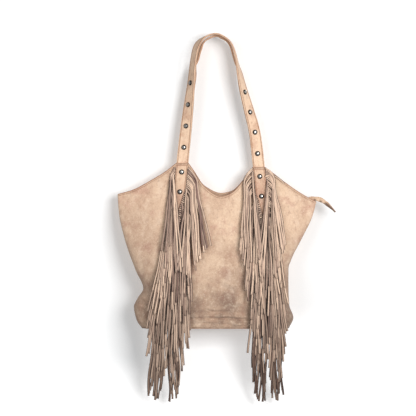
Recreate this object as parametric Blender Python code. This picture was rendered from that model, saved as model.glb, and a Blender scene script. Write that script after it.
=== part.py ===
# A fringed suede shoulder tote, hanging by its two handles.
# Metres, +Z up, front towards -Y. The origin is where a hook holds the handles up.

import math

import bmesh
import bpy
from mathutils import Matrix, Vector

# Sheet thicknesses and the clearances between pieces
SUEDE_T = 0.0015
LINING_T = 0.0008
STRAP_T = 0.0036
FRINGE_T = 0.0012
TOUCH = 0.0003
SEWN_GAP = 0.0008
LINING_GAP = 0.0009

# Bag body: the side outlines as (height, x), foot to top corner
BASE_Z = -0.655
BASE_T = 0.0020
LEFT_SIDE = [(BASE_Z, -0.164), (-0.637, -0.177), (-0.609, -0.183), (-0.588, -0.174),
             (-0.568, -0.162), (-0.527, -0.179), (-0.459, -0.203), (-0.396, -0.217), (-0.355, -0.220)]
RIGHT_SIDE = [(BASE_Z, 0.168), (-0.633, 0.177), (-0.605, 0.168), (-0.560, 0.166),
              (-0.523, 0.166), (-0.503, 0.172), (-0.457, 0.195), (-0.405, 0.220), (-0.372, 0.229)]
LEFT_CORNER = (-0.220, -0.355)
RIGHT_CORNER = (0.229, -0.372)

# Bag body: half depth and squareness of the section, by height
DEPTH = [(BASE_Z, 0.046), (-0.600, 0.048), (-0.520, 0.045), (-0.450, 0.032),
         (-0.380, 0.0180), (-0.340, 0.0135), (-0.285, 0.0105)]
SQUARENESS = [(BASE_Z, 8.0), (-0.560, 6.0), (-0.450, 3.5), (-0.380, 3.0), (-0.285, 3.0)]

# Top edge: the tabs that carry the handles, and the curves between them as (x, height)
STRAP_W = 0.027
TAB_MARGIN = 0.001
TAB_X = {"left": -0.0735, "right": 0.099}
TAB_Z = {"left": -0.285, "right": -0.294}
LEFT_SHOULDER = [(-0.187, -0.346), (-0.141, -0.322), (-0.113, -0.305)]
DIP = [(-0.048, -0.302), (-0.024, -0.338), (0.014, -0.360), (0.036, -0.353), (0.070, -0.316)]
RIGHT_SHOULDER = [(0.134, -0.310), (0.157, -0.328), (0.200, -0.357)]

# Handles: centre lines as (x, height) from the left end behind its tab to the right end
HANDLE_END = {"left": -0.366, "right": -0.374}
FRONT_LINE = [(-0.0805, HANDLE_END["left"]), (TAB_X["left"], TAB_Z["left"]),
              (-0.0680, -0.232), (-0.0590, -0.151),
              (-0.0540, -0.107), (-0.0495, -0.060), (-0.0420, -0.023), (-0.0260, -0.0025), (0.001, 0.0068),
              (0.0210, -0.0005), (0.0360, -0.0140), (0.0445, -0.033), (0.0530, -0.072), (0.0640, -0.118),
              (0.0770, -0.166), (0.0900, -0.218), (TAB_X["right"], TAB_Z["right"]),
              (0.1060, HANDLE_END["right"])]
BACK_LINE = [(-0.0805, HANDLE_END["left"]), (TAB_X["left"], TAB_Z["left"]),
             (-0.0680, -0.232), (-0.0588, -0.151),
             (-0.0535, -0.107), (-0.0455, -0.071), (-0.0402, -0.0506), (-0.0330, -0.0304), (-0.0215, -0.0105),
             (0.001, 0.0018), (0.0140, -0.0028), (0.0272, -0.0118), (0.0365, -0.0240), (0.0420, -0.0396),
             (0.0458, -0.053), (0.0520, -0.074), (0.0638, -0.118), (0.0770, -0.166), (0.0900, -0.218),
             (TAB_X["right"], TAB_Z["right"]), (0.1060, HANDLE_END["right"])]
# Turn of each leg from facing forward, as (height, degrees), and how far the handles stand from the middle
FRONT_TWIST = {"left": [(-0.285, 0.0), (-0.181, 30.0), (-0.109, 54.0), (-0.075, 62.0),
                        (-0.020, 64.0), (0.004, 90.0)],
               "right": [(-0.285, 0.0), (-0.181, 32.0), (-0.121, 54.0), (-0.085, 65.0), (-0.055, 83.0),
                         (-0.018, 90.0)]}
BACK_TWIST = {"left": [(-0.285, 0.0), (-0.181, 30.0), (-0.120, 51.0), (-0.092, 57.0),
                       (-0.068, 84.0), (-0.048, 104.0), (-0.015, 104.0), (0.001, 90.0)],
              "right": [(-0.285, 0.0), (-0.181, 32.0), (-0.130, 50.0), (-0.108, 58.0),
                        (-0.080, 78.0), (-0.055, 98.0), (-0.015, 104.0), (0.001, 90.0)]}
STRAP_SPREAD = [(-0.285, 0.0063), (-0.190, 0.0110), (-0.110, 0.0128), (-0.070, 0.0142), (-0.040, 0.0128),
                (0.0, 0.0085)]
ARCH_X = 0.001
HANDLE_STATIONS = 56
STRAP_EDGE = 0.0009

# Studs by height, on each leg and on the patch below it
STUD_Z = {"left": [-0.104, -0.153, -0.201, -0.249, -0.305, -0.350],
          "right": [-0.125, -0.170, -0.215, -0.263, -0.315, -0.360]}
STUDS_ON_HANDLE = 4
STUD_SEAT = 0.0009
STUD_R = 0.0058
STUD_DOME = 0.0039
STUD_RIM = 0.0009
STUD_SHANK_R = 0.0015
STUD_CAP_R = 0.0038
STUD_CAP_T = 0.0010
STUD_SIDES = 10

# Patches, and the fringe lines that run on below them as (height, x of the line's middle)
PATCH_T = 0.0015
PATCH_TOP_DROP = 0.004
PATCH_END = {"left": -0.369, "right": -0.377}
FRINGE_LINE = {"left": [(-0.629, -0.110), (-0.390, -0.085), (-0.285, -0.0735)],
               "right": [(-0.629, 0.1215), (-0.431, 0.112), (-0.294, 0.099)]}

# Fringe combs: strips cut at an even pitch hang in three lanes, the upper ones in front
FRINGE_TOP = -0.300
FRINGE_PITCH = 0.0120
FRINGE_STRIPS = 28
FRINGE_STRIP_W = 0.0048
FRINGE_HEADER_W = 0.006
# The two combs of a line close up below the patch: half space between them by height below its end
LINE_HALF = 0.0045
LINE_CLOSES = 0.050
FRINGE_LENGTH = 0.190
FRINGE_RAMP = 0.0085
FRINGE_LEVEL = 0.060
LANES = 3
# Reach of the outer lane at the top and the bottom of a comb, and its flare by share of the comb
COMBS = {
    "fringe_left_outer": ("left", -1, (0.016, 0.022), [(0.0, 0.05), (0.35, 0.17), (0.55, 0.17), (1.0, 0.04)]),
    "fringe_left_inner": ("left", 1, (0.022, 0.022), [(0.0, 0.12), (0.5, 0.06), (1.0, 0.0)]),
    "fringe_right_inner": ("right", -1, (0.020, 0.022), [(0.0, 0.08), (0.35, 0.12), (1.0, 0.04)]),
    "fringe_right_outer": ("right", 1, (0.017, 0.022), [(0.0, 0.15), (0.4, 0.15), (1.0, 0.0)]),
}
LANE_REACH = (1.0, 0.62, 0.24)
LANE_FLARE = (1.0, 0.55, 0.15)

# Zip across the mouth: plane, ends and sections
ZIP_Z = -0.385
ZIP_LEFT = -0.198
ZIP_RIGHT = 0.200
ZIP_GAP = 0.0016
TEETH_W = 0.0022
TEETH_H = 0.0024
TAPE_T = 0.0008
TAPE_CLEAR = 0.0009
SLIDER_X = -0.165
SLIDER_LENGTH = 0.010
SLIDER_W = 0.008
SLIDER_PLATE = 0.0014
SLIDER_WEB = 0.0010
BRIDGE_BAR = 0.0010
BRIDGE_W = 0.0020
BRIDGE_ROOM = 0.0026
BRIDGE_LENGTH = 0.0092
PULL_ROD = 0.0013
PULL_ARM = 0.0016
PULL_SLOT_W = 0.0032
PULL_SLOT_END = 0.0068
PULL_LENGTH = 0.032

# Wrapped zip end over the right corner, as (x, height, lean of its width from level in degrees)
TAIL_W = 0.010
TAIL_T = 0.0026
TAIL_PATH = [(0.190, ZIP_Z + TEETH_H / 2 + TOUCH + TAIL_T / 2, 0.0), (0.199, -0.3815, 10.0),
             (0.207, -0.374, 55.0),
             (0.216, -0.3655, 88.0), (0.228, -0.3650, 90.0), (0.240, -0.3680, 85.0), (0.252, -0.3760, 60.0),
             (0.262, -0.3850, 35.0), (0.272, -0.3950, 60.0)]

# Mesh density of the lofted cloth
PANEL_ROWS = [0.0, 0.05, 0.11, 0.17, 0.24, 0.33, 0.44, 0.54, 0.63, 0.71, 0.78, 0.85, 0.92, 1.0]
LINING_ROWS = [v for v in PANEL_ROWS if v < 0.72] + [1.0]
LINING_TOP = ZIP_Z - 0.003


def smooth_value(points, at):
    """Value of a smooth curve through (position, value) points, flat beyond its ends."""
    if at <= points[0][0]:
        return points[0][1]
    if at >= points[-1][0]:
        return points[-1][1]
    steps = [(b[1] - a[1]) / (b[0] - a[0]) for a, b in zip(points, points[1:])]
    slopes = [steps[0]]
    for before, after in zip(steps, steps[1:]):
        slopes.append(2 * before * after / (before + after) if before * after > 0 else 0.0)
    slopes.append(steps[-1])
    for i in range(len(steps)):
        if at <= points[i + 1][0]:
            width = points[i + 1][0] - points[i][0]
            t = (at - points[i][0]) / width
            return ((1 + 2 * t) * (1 - t) ** 2 * points[i][1] + t * (1 - t) ** 2 * width * slopes[i]
                    + t * t * (3 - 2 * t) * points[i + 1][1] + t * t * (t - 1) * width * slopes[i + 1])


def smooth_path(points, count):
    """Evenly spaced points on a smooth curve through the given ones (any number of values each)."""
    size = len(points[0])
    ends = [[2 * points[0][k] - points[1][k] for k in range(size)],
            [2 * points[-1][k] - points[-2][k] for k in range(size)]]
    knots = [ends[0]] + [list(p) for p in points] + [ends[1]]
    dense = []
    for i in range(1, len(knots) - 2):
        for step in range(24):
            t = step / 24
            dense.append([0.5 * (2 * b + (c - a) * t + (2 * a - 5 * b + 4 * c - d) * t * t
                                 + (3 * b - a - 3 * c + d) * t ** 3)
                          for a, b, c, d in zip(*knots[i - 1:i + 3])])
    dense.append(list(points[-1]))
    along = [0.0]
    for a, b in zip(dense, dense[1:]):
        along.append(along[-1] + math.dist(a[:2], b[:2]))
    result = []
    k = 0
    for i in range(count):
        want = along[-1] * i / (count - 1)
        while k < len(dense) - 2 and along[k + 1] < want:
            k += 1
        t = (want - along[k]) / (along[k + 1] - along[k])
        result.append([a + (b - a) * t for a, b in zip(dense[k], dense[k + 1])])
    return result


def tab_edges(side):
    """The x of a tab's left and right end."""
    half = STRAP_W / 2 + TAB_MARGIN
    return TAB_X[side] - half, TAB_X[side] + half


def top_edge(x):
    """Height of the body's top edge at x: shoulder, tab, dip, tab, shoulder."""
    left_in, left_out = tab_edges("left")
    right_in, right_out = tab_edges("right")
    if x <= left_in:
        return smooth_value([LEFT_CORNER] + LEFT_SHOULDER + [(left_in, TAB_Z["left"])], x)
    if x <= left_out:
        return TAB_Z["left"]
    if x < right_in:
        return smooth_value([(left_out, TAB_Z["left"])] + DIP + [(right_in, TAB_Z["right"])], x)
    if x <= right_out:
        return TAB_Z["right"]
    return smooth_value([(right_out, TAB_Z["right"])] + RIGHT_SHOULDER + [RIGHT_CORNER], x)


def section(share, z):
    """How much of the half depth is left at this share of the half width."""
    return max(0.0, 1 - abs(share) ** smooth_value(SQUARENESS, z)) ** 0.5


def wall_point(u, z, inset):
    """Point (x, half depth) of the body wall at width share u, set in from the outer face."""
    left = smooth_value(LEFT_SIDE, z)
    right = smooth_value(RIGHT_SIDE, z)
    share = 2 * u - 1
    x = (left + right) / 2 + ((right - left) / 2 - inset) * share
    return x, (smooth_value(DEPTH, z) - inset) * section(share, z)


def wall_depth(x, z, inset, widest=1.0):
    """Half depth of the wall over a given x, no further out than the widest share."""
    left = smooth_value(LEFT_SIDE, z)
    right = smooth_value(RIGHT_SIDE, z)
    share = (x - (left + right) / 2) / ((right - left) / 2 - inset)
    share = max(-widest, min(widest, share))
    return (smooth_value(DEPTH, z) - inset) * section(share, z)


def finish_of(name, colour, roughness, metallic=0.0):
    """A plain material from an sRGB colour."""
    material = bpy.data.materials.new(name)
    material.use_nodes = True
    shader = material.node_tree.nodes["Principled BSDF"]
    linear = [(c / 255) ** 2.2 for c in colour]
    shader.inputs["Base Color"].default_value = (*linear, 1)
    shader.inputs["Roughness"].default_value = roughness
    shader.inputs["Metallic"].default_value = metallic
    return material


def suede(name, colour=(226, 195, 168)):
    return finish_of(name + "_suede", colour, 0.95)


def make_object(name, verts, faces, material, smooth=True, triangles=False):
    """A mesh object from points and faces, with its normals pointing out."""
    mesh = bpy.data.meshes.new(name)
    bm = bmesh.new()
    made = [bm.verts.new(v) for v in verts]
    for face in faces:
        bm.faces.new([made[i] for i in face])
    bmesh.ops.recalc_face_normals(bm, faces=bm.faces)
    if triangles:
        bmesh.ops.triangulate(bm, faces=bm.faces)
    bm.to_mesh(mesh)
    bm.free()
    if smooth:
        mesh.shade_smooth()
        mesh.set_sharp_from_angle(angle=math.radians(40))
    mesh.materials.append(material)
    obj = bpy.data.objects.new(name, mesh)
    bpy.context.scene.collection.objects.link(obj)
    return obj


def loft(name, rings, material, closed=False, smooth=True, triangles=False):
    """A closed solid through rings of points; the ends are capped, or joined when closed."""
    size = len(rings[0])
    verts = [p for ring in rings for p in ring]
    faces = []
    for r in range(len(rings) if closed else len(rings) - 1):
        here = r * size
        there = (r + 1) % len(rings) * size
        for i in range(size):
            j = (i + 1) % size
            faces.append((here + i, here + j, there + j, there + i))
    if not closed:
        faces.append(tuple(range(size)))
        faces.append(tuple(range((len(rings) - 1) * size, len(rings) * size)))
    return make_object(name, verts, faces, material, smooth, triangles)


def cut(obj, cutter):
    """A live cut that keeps the piece clear of what passes through it."""
    modifier = obj.modifiers.new("stud_holes", "BOOLEAN")
    modifier.operation = "DIFFERENCE"
    modifier.object = cutter


# Body panels, base and lining

def panel_columns():
    """Width shares of the panel's columns, with a column at each corner of each tab."""
    width = RIGHT_CORNER[0] - LEFT_CORNER[0]
    marks = [0.0] + [(x - LEFT_CORNER[0]) / width for side in TAB_X for x in tab_edges(side)] + [1.0]
    counts = (6, 2, 7, 2, 6)
    columns = []
    for k, count in enumerate(counts):
        for i in range(count):
            t = i / count
            if k == 0:
                t = 1 - math.cos(t * math.pi / 2)
            if k == len(counts) - 1:
                t = math.sin(t * math.pi / 2)
            columns.append(marks[k] + (marks[k + 1] - marks[k]) * t)
    return columns + [1.0]


def make_panel(name, side):
    """One face of the body: an outer and an inner sheet joined round all four edges."""
    columns = panel_columns()
    grids = []
    for inset in (0.0, SUEDE_T):
        grid = []
        for v in PANEL_ROWS:
            for u in columns:
                x_top = LEFT_CORNER[0] + (RIGHT_CORNER[0] - LEFT_CORNER[0]) * u
                z = BASE_Z + (top_edge(x_top) - BASE_Z) * v
                x, y = wall_point(u, z, inset)
                grid.append(Vector((x, side * (y + TOUCH / 2), z)))
        grids.append(grid)
    wide = len(columns)
    tall = len(PANEL_ROWS)
    offset = wide * tall
    faces = []
    for r in range(tall - 1):
        for c in range(wide - 1):
            a = r * wide + c
            faces.append((a, a + 1, a + wide + 1, a + wide))
            faces.append((a + offset, a + wide + offset, a + wide + 1 + offset, a + 1 + offset))
    rim = ([c for c in range(wide)] + [r * wide + wide - 1 for r in range(1, tall)]
           + [(tall - 1) * wide + c for c in range(wide - 2, -1, -1)] + [r * wide for r in range(tall - 2, 0, -1)])
    for a, b in zip(rim, rim[1:] + rim[:1]):
        faces.append((a, b, b + offset, a + offset))
    return make_object(name, grids[0] + grids[1], faces, suede(name), triangles=True)


def wall_ring(z, inset, sides):
    """The body's whole outline at one height."""
    ring = []
    for side, order in ((-1, 1), (1, -1)):
        for i in range(sides // 2):
            u = (1 - math.cos(math.pi * i / (sides // 2))) / 2
            u = u if order > 0 else 1 - u
            x, y = wall_point(u, z, inset)
            ring.append(Vector((x, side * y, z)))
    return ring


def make_base():
    """The boxed bottom, a flat sheet under the two panels."""
    top = wall_ring(BASE_Z, 0.0, 40)
    low = BASE_Z - TOUCH - BASE_T
    rings = [[Vector((p.x, p.y, z)) for p in top] for z in (low, low + BASE_T)]
    return loft("base_panel", rings, suede("base_panel", (200, 168, 144)), smooth=False)


def make_lining():
    """A cloth pouch just inside the panels, open below the zip."""
    outer_inset = SUEDE_T + LINING_GAP
    floor = BASE_Z + TOUCH
    columns = panel_columns()
    outer = []
    inner = []
    for v in LINING_ROWS:
        rings = ([], [])
        for side, shares in ((-1, columns), (1, columns[-2:0:-1])):
            for u in shares:
                x_top = LEFT_CORNER[0] + (RIGHT_CORNER[0] - LEFT_CORNER[0]) * u
                z = BASE_Z + (top_edge(x_top) - BASE_Z) * v if v < 1 else LINING_TOP
                for ring, inset, lowest in zip(rings, (outer_inset, outer_inset + LINING_T),
                                               (floor, floor + LINING_T)):
                    x, y = wall_point(u, max(z, lowest), inset)
                    ring.append(Vector((x, side * y, max(z, lowest))))
        outer.append(rings[0])
        inner.append(rings[1])
    return loft("lining", outer + inner[::-1], finish_of("lining_cotton", (186, 160, 134), 0.9), triangles=True)


# Handles

def strap_frames(line, turns, side):
    """Stations of a handle: middle, travel, face normal, width direction."""
    path = smooth_path(line, HANDLE_STATIONS)
    middles = []
    for x, z in path:
        if z < min(TAB_Z.values()) - TAB_MARGIN:
            near = min(wall_depth(x + dx, z, SUEDE_T) for dx in (-STRAP_W / 2, 0, STRAP_W / 2))
            y = near + TOUCH / 2 - SEWN_GAP - STRAP_T / 2
        else:
            y = smooth_value(STRAP_SPREAD, z)
        middles.append(Vector((x, side * y, z)))
    frames = []
    for i, middle in enumerate(middles):
        travel = (middles[min(i + 1, len(middles) - 1)] - middles[max(i - 1, 0)]).normalized()
        out = Vector((-travel.z, 0, travel.x)).normalized()
        leg = "left" if middle.x < ARCH_X else "right"
        twist = math.radians(smooth_value(turns[leg], middle.z))
        normal = math.cos(twist) * Vector((0, side, 0)) + math.sin(twist) * out
        normal = (normal - normal.dot(travel) * travel).normalized()
        frames.append((middle, travel, normal, travel.cross(normal)))
    return frames


def strap_ring(frame):
    """Strap section with a small round on its four corners."""
    middle, travel, normal, across = frame
    half_w = STRAP_W / 2
    half_t = STRAP_T / 2
    outline = [(half_w, half_t - STRAP_EDGE), (half_w - STRAP_EDGE, half_t), (STRAP_EDGE - half_w, half_t),
               (-half_w, half_t - STRAP_EDGE), (-half_w, STRAP_EDGE - half_t), (STRAP_EDGE - half_w, -half_t),
               (half_w - STRAP_EDGE, -half_t), (half_w, STRAP_EDGE - half_t)]
    return [middle + across * w + normal * t for w, t in outline]


def make_handle(name, frames):
    return loft(name, [strap_ring(f) for f in frames], suede(name), triangles=True)


def frame_at(frames, side, z):
    """The strap's frame where it passes a height on its left or right leg."""
    middle_x = (TAB_X["left"] + TAB_X["right"]) / 2 - 0.012
    for a, b in zip(frames, frames[1:]):
        on_leg = (a[0].x < middle_x) == (side == "left")
        if on_leg and (a[0].z - z) * (b[0].z - z) <= 0:
            t = (z - a[0].z) / (b[0].z - a[0].z)
            return [p.lerp(q, t) if k == 0 else p.lerp(q, t).normalized() for k, (p, q) in enumerate(zip(a, b))]


# Patches

def patch_middle(side, z):
    return smooth_value(FRINGE_LINE[side], z)


def make_patch(name, side, face):
    """The strap-width strip sewn to the body below a tab, following the panel."""
    top = TAB_Z[side] - PATCH_TOP_DROP
    rings = []
    for i in range(6):
        z = top + (PATCH_END[side] - top) * i / 5
        shares = (-0.5, 0.0, 0.5)
        points = [(patch_middle(side, z) + s * STRAP_W) for s in shares]
        near = [wall_depth(x, z, 0.0) + TOUCH / 2 + TOUCH for x in points]
        ring = [Vector((x, face * y, z)) for x, y in zip(points, near)]
        ring += [Vector((x, face * (y + PATCH_T), z)) for x, y in reversed(list(zip(points, near)))]
        rings.append(ring)
    return loft(name, rings, suede(name, (232, 200, 170)), triangles=True)


# Studs

def stud_stack(frame, index, side):
    """How far the stud's two seats lie from the strap's middle, along its axis."""
    middle = frame[0]
    back = -STRAP_T / 2 - STUD_SEAT
    if index < STUDS_ON_HANDLE:
        return back, STRAP_T / 2 + STUD_SEAT
    cover = wall_depth(middle.x, middle.z, 0.0) + TOUCH / 2 + TOUCH + PATCH_T + STUD_SEAT
    return back, (cover - abs(middle.y)) / abs(frame[2].y)


def make_stud(name, frame, back, front):
    """Domed head, shank and back cap turned as one."""
    profile = [(0.0, back - STUD_CAP_T), (STUD_CAP_R, back - STUD_CAP_T), (STUD_CAP_R, back),
               (STUD_SHANK_R, back), (STUD_SHANK_R, front), (STUD_R, front), (STUD_R * 0.95, front + STUD_RIM),
               (STUD_R * 0.62, front + STUD_DOME * 0.78), (0.0, front + STUD_DOME)]
    place = Matrix((frame[3], frame[1], frame[2])).transposed()
    verts = [frame[0] + place @ Vector((0, 0, profile[0][1]))]
    for radius, height in profile[1:-1]:
        for k in range(STUD_SIDES):
            turn = 2 * math.pi * k / STUD_SIDES
            verts.append(frame[0] + place @ Vector((radius * math.cos(turn), radius * math.sin(turn), height)))
    verts.append(frame[0] + place @ Vector((0, 0, profile[-1][1])))
    faces = []
    for k in range(STUD_SIDES):
        n = (k + 1) % STUD_SIDES
        faces.append((0, 1 + n, 1 + k))
        for ring in range(len(profile) - 3):
            a = 1 + ring * STUD_SIDES
            faces.append((a + k, a + n, a + STUD_SIDES + n, a + STUD_SIDES + k))
        last = 1 + (len(profile) - 3) * STUD_SIDES
        faces.append((last + k, last + n, len(verts) - 1))
    return make_object(name, verts, faces, finish_of(name + "_metal", (92, 84, 80), 0.35, 1.0))


def make_hole_cutter(name, frames):
    """Prisms a touch wider than the studs' shanks, used only to cut."""
    radius = STUD_SHANK_R + TOUCH
    verts = []
    faces = []
    for frame, back, front in frames:
        start = len(verts)
        place = Matrix((frame[3], frame[1], frame[2])).transposed()
        for height in (back - STUD_CAP_T / 2, front + STUD_DOME / 2):
            for k in range(STUD_SIDES):
                turn = 2 * math.pi * k / STUD_SIDES
                verts.append(frame[0] + place @ Vector((radius * math.cos(turn), radius * math.sin(turn), height)))
        for k in range(STUD_SIDES):
            n = (k + 1) % STUD_SIDES
            faces.append((start + k, start + n, start + STUD_SIDES + n, start + STUD_SIDES + k))
        faces.append(tuple(range(start, start + STUD_SIDES)))
        faces.append(tuple(range(start + STUD_SIDES, start + 2 * STUD_SIDES)))
    cutter = make_object(name, verts, faces, finish_of(name, (255, 0, 0), 1.0), smooth=False)
    cutter.hide_render = True
    cutter.display_type = "WIRE"
    return cutter


# Fringe

def make_comb(name, side, way, reach, flare):
    """One comb: a header sewn along the line and its cut strips, all one piece of suede."""
    beside_patch = STRAP_W / 2 + TOUCH
    closing = [(PATCH_END[side] - LINE_CLOSES, LINE_HALF), (PATCH_END[side] - LINE_HALF, beside_patch)]
    rise = (FRINGE_T + TOUCH) / (LANES * FRINGE_PITCH)
    lift = FRINGE_T + SEWN_GAP
    foot = FRINGE_TOP - (FRINGE_STRIPS - 1) * FRINGE_PITCH

    def place(x, z, depth):
        level = max(z, BASE_Z + FRINGE_STRIP_W)
        near = wall_depth(x, level, 0.0, 0.8)
        return Vector((x, -(near + TOUCH / 2 + SEWN_GAP + depth), z))

    verts = []
    faces = []
    header = []
    for k in range(FRINGE_STRIPS):
        root = FRINGE_TOP - k * FRINGE_PITCH
        for z in (root + FRINGE_STRIP_W / 2, root - FRINGE_STRIP_W / 2):
            edge = smooth_value(FRINGE_LINE[side], z) + way * smooth_value(closing, z)
            header.append(len(verts))
            for x in (edge, edge + way * FRINGE_HEADER_W):
                verts += [place(x, z, 0.0), place(x, z, FRINGE_T)]
    for i, (a, b) in enumerate(zip(header, header[1:])):
        faces += [(a, a + 2, b + 2, b), (a + 1, b + 1, b + 3, a + 3), (a, b, b + 1, a + 1)]
        if i % 2:
            faces.append((a + 2, a + 3, b + 3, b + 2))
    first = header[0]
    last = header[-1]
    faces += [(first, first + 1, first + 3, first + 2), (last, last + 2, last + 3, last + 1)]

    for k in range(FRINGE_STRIPS):
        root = FRINGE_TOP - k * FRINGE_PITCH
        share = k / (FRINGE_STRIPS - 1)
        lane = k % LANES
        edge = smooth_value(FRINGE_LINE[side], root) + way * smooth_value(closing, root)
        bend = FRINGE_HEADER_W + LANE_REACH[lane] * (reach[0] + (reach[1] - reach[0]) * share)
        lean = LANE_FLARE[lane] * smooth_value(flare, share)
        tip = root - FRINGE_LENGTH + (k * 7 % 5 - 2) * FRINGE_STRIP_W / 2
        levels = [root - FRINGE_RAMP]
        levels += [-FRINGE_LEVEL * n for n in range(30) if tip + 0.01 < -FRINGE_LEVEL * n < root - FRINGE_RAMP - 0.01]
        levels.append(tip)
        half = FRINGE_STRIP_W / 2
        x = edge + way * bend
        ring = [header[2 * k] + 3, header[2 * k] + 2, header[2 * k + 1] + 2, header[2 * k + 1] + 3]
        rings = [ring]
        sections = [[(x + way * half, root + half, FRINGE_T), (x + way * half, root + half, 0.0),
                     (x - way * half, root - half, 0.0), (x - way * half, root - half, FRINGE_T)]]
        for z in levels:
            drop = root - z
            depth = lift + rise * (drop - FRINGE_RAMP)
            at = x + way * lean * drop
            sections.append([(at + way * half, z, depth + FRINGE_T), (at + way * half, z, depth),
                             (at - way * half, z, depth), (at - way * half, z, depth + FRINGE_T)])
        for corners in sections:
            rings.append(list(range(len(verts), len(verts) + 4)))
            verts += [place(*corner) for corner in corners]
        for a, b in zip(rings, rings[1:]):
            for i in range(4):
                j = (i + 1) % 4
                faces.append((a[i], a[j], b[j], b[i]))
        faces.append(tuple(rings[-1]))
    return make_object(name, verts, faces, suede(name, (206, 174, 148)), triangles=True)


# Zip

def make_tape(name, side):
    """One zip tape, from its row of teeth out to the wall."""
    inner = ZIP_GAP / 2 + TEETH_W + TOUCH
    rings = []
    for i in range(13):
        x = ZIP_LEFT + (ZIP_RIGHT - ZIP_LEFT) * i / 12
        outer = wall_depth(x, ZIP_Z, SUEDE_T) - TAPE_CLEAR
        rings.append([Vector((x, side * y, ZIP_Z + z)) for y, z in
                      ((inner, -TAPE_T / 2), (outer, -TAPE_T / 2), (outer, TAPE_T / 2), (inner, TAPE_T / 2))])
    return loft(name, rings, finish_of(name + "_cloth", (150, 120, 96), 0.85))


def make_teeth(name, side):
    """One row of zip teeth as its outer shape, the teeth themselves are too fine for a solid."""
    rings = []
    for x in (ZIP_LEFT + SLIDER_LENGTH / 2, ZIP_RIGHT - SLIDER_LENGTH / 2):
        rings.append([Vector((x, side * (ZIP_GAP / 2 + y), ZIP_Z + z)) for y, z in
                      ((0, -TEETH_H / 2), (TEETH_W, -TEETH_H / 2), (TEETH_W, TEETH_H / 2), (0, TEETH_H / 2))])
    return loft(name, rings, finish_of(name + "_metal", (120, 108, 92), 0.4, 1.0), smooth=False)


def outline_solid(name, outline, half_width, material, centre):
    """A solid with this outline in the XZ plane, as wide as given along Y."""
    rings = [[Vector((x, side * half_width, z)) - centre for x, z in outline] for side in (-1, 1)]
    obj = loft(name, rings, material, smooth=False)
    obj.location = centre
    return obj


def join_bodies(obj, other):
    """Unite two overlapping solids into one body and drop the second."""
    bpy.context.view_layer.update()
    modifier = obj.modifiers.new("join", "BOOLEAN")
    modifier.operation = "UNION"
    modifier.object = other
    other.hide_render = True
    other.display_type = "WIRE"


def slider_levels():
    """Heights of the slider: underside, seat, roof, top, and the pull's axis."""
    roof = ZIP_Z + TEETH_H / 2 + TOUCH
    floor = ZIP_Z - TEETH_H / 2 - TOUCH
    top = roof + SLIDER_PLATE
    return floor - SLIDER_PLATE, floor, roof, top, top + TOUCH + PULL_ROD / 2


def make_slider():
    """Two plates joined by a web between the rows, with a bridge for the pull."""
    low, floor, roof, top, axis = slider_levels()
    material = finish_of("zip_slider_metal", (110, 100, 88), 0.35, 1.0)
    half = SLIDER_LENGTH / 2
    centre = Vector((SLIDER_X, 0, ZIP_Z))
    left = SLIDER_X - half
    right = SLIDER_X + half
    slider = outline_solid("zip_slider", [(left, low), (right, low), (right, floor), (left, floor)],
                           SLIDER_W / 2, material, centre)
    plate = outline_solid("slider_top_shape", [(left, roof), (right, roof), (right, top), (left, top)],
                          SLIDER_W / 2, material, centre)
    web_x = (left + half / 2, right - half / 2)
    web = outline_solid("slider_web_shape", [(web_x[0], floor - TOUCH), (web_x[1], floor - TOUCH),
                                             (web_x[1], roof + TOUCH), (web_x[0], roof + TOUCH)],
                        SLIDER_WEB / 2, material, centre)
    reach = BRIDGE_LENGTH / 2
    room = top + BRIDGE_ROOM
    crown = room + BRIDGE_BAR
    root = top - TOUCH
    outline = [(-reach, root), (-reach, crown), (reach, crown), (reach, root), (reach - BRIDGE_BAR, root),
               (reach - BRIDGE_BAR, room), (BRIDGE_BAR - reach, room), (BRIDGE_BAR - reach, root)]
    bridge = outline_solid("slider_bridge_shape", [(SLIDER_X + x, z) for x, z in outline],
                           BRIDGE_W / 2, material, centre)
    for other in (web, plate, bridge):
        join_bodies(slider, other)
    return slider


def make_pull():
    """A flat pull whose cross rod sits under the slider's bridge; the slot clears the bridge."""
    axis = Vector((SLIDER_X, 0, slider_levels()[4]))
    half_t = PULL_ROD / 2
    wide = PULL_SLOT_W / 2 + PULL_ARM
    outer = [(-half_t, -wide), (PULL_LENGTH - wide, -wide), (PULL_LENGTH - wide * 0.3, -wide * 0.7),
             (PULL_LENGTH, 0), (PULL_LENGTH - wide * 0.3, wide * 0.7), (PULL_LENGTH - wide, wide), (-half_t, wide)]
    slot = [(half_t, -PULL_SLOT_W / 2), (PULL_SLOT_END, -PULL_SLOT_W / 2), (PULL_SLOT_END, PULL_SLOT_W / 2),
            (half_t, PULL_SLOT_W / 2)]
    material = finish_of("zip_pull_metal", (110, 100, 88), 0.35, 1.0)
    pull = loft("zip_pull", [[Vector((x, y, z)) for x, y in outer] for z in (-half_t, half_t)], material,
                smooth=False)
    cutter = loft("pull_slot_shape", [[Vector((x, y, z)) for x, y in slot] for z in (-PULL_ROD, PULL_ROD)],
                  material, smooth=False)
    for obj in (pull, cutter):
        obj.location = axis
    cut(pull, cutter)
    cutter.hide_render = True
    cutter.display_type = "WIRE"
    return pull


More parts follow.
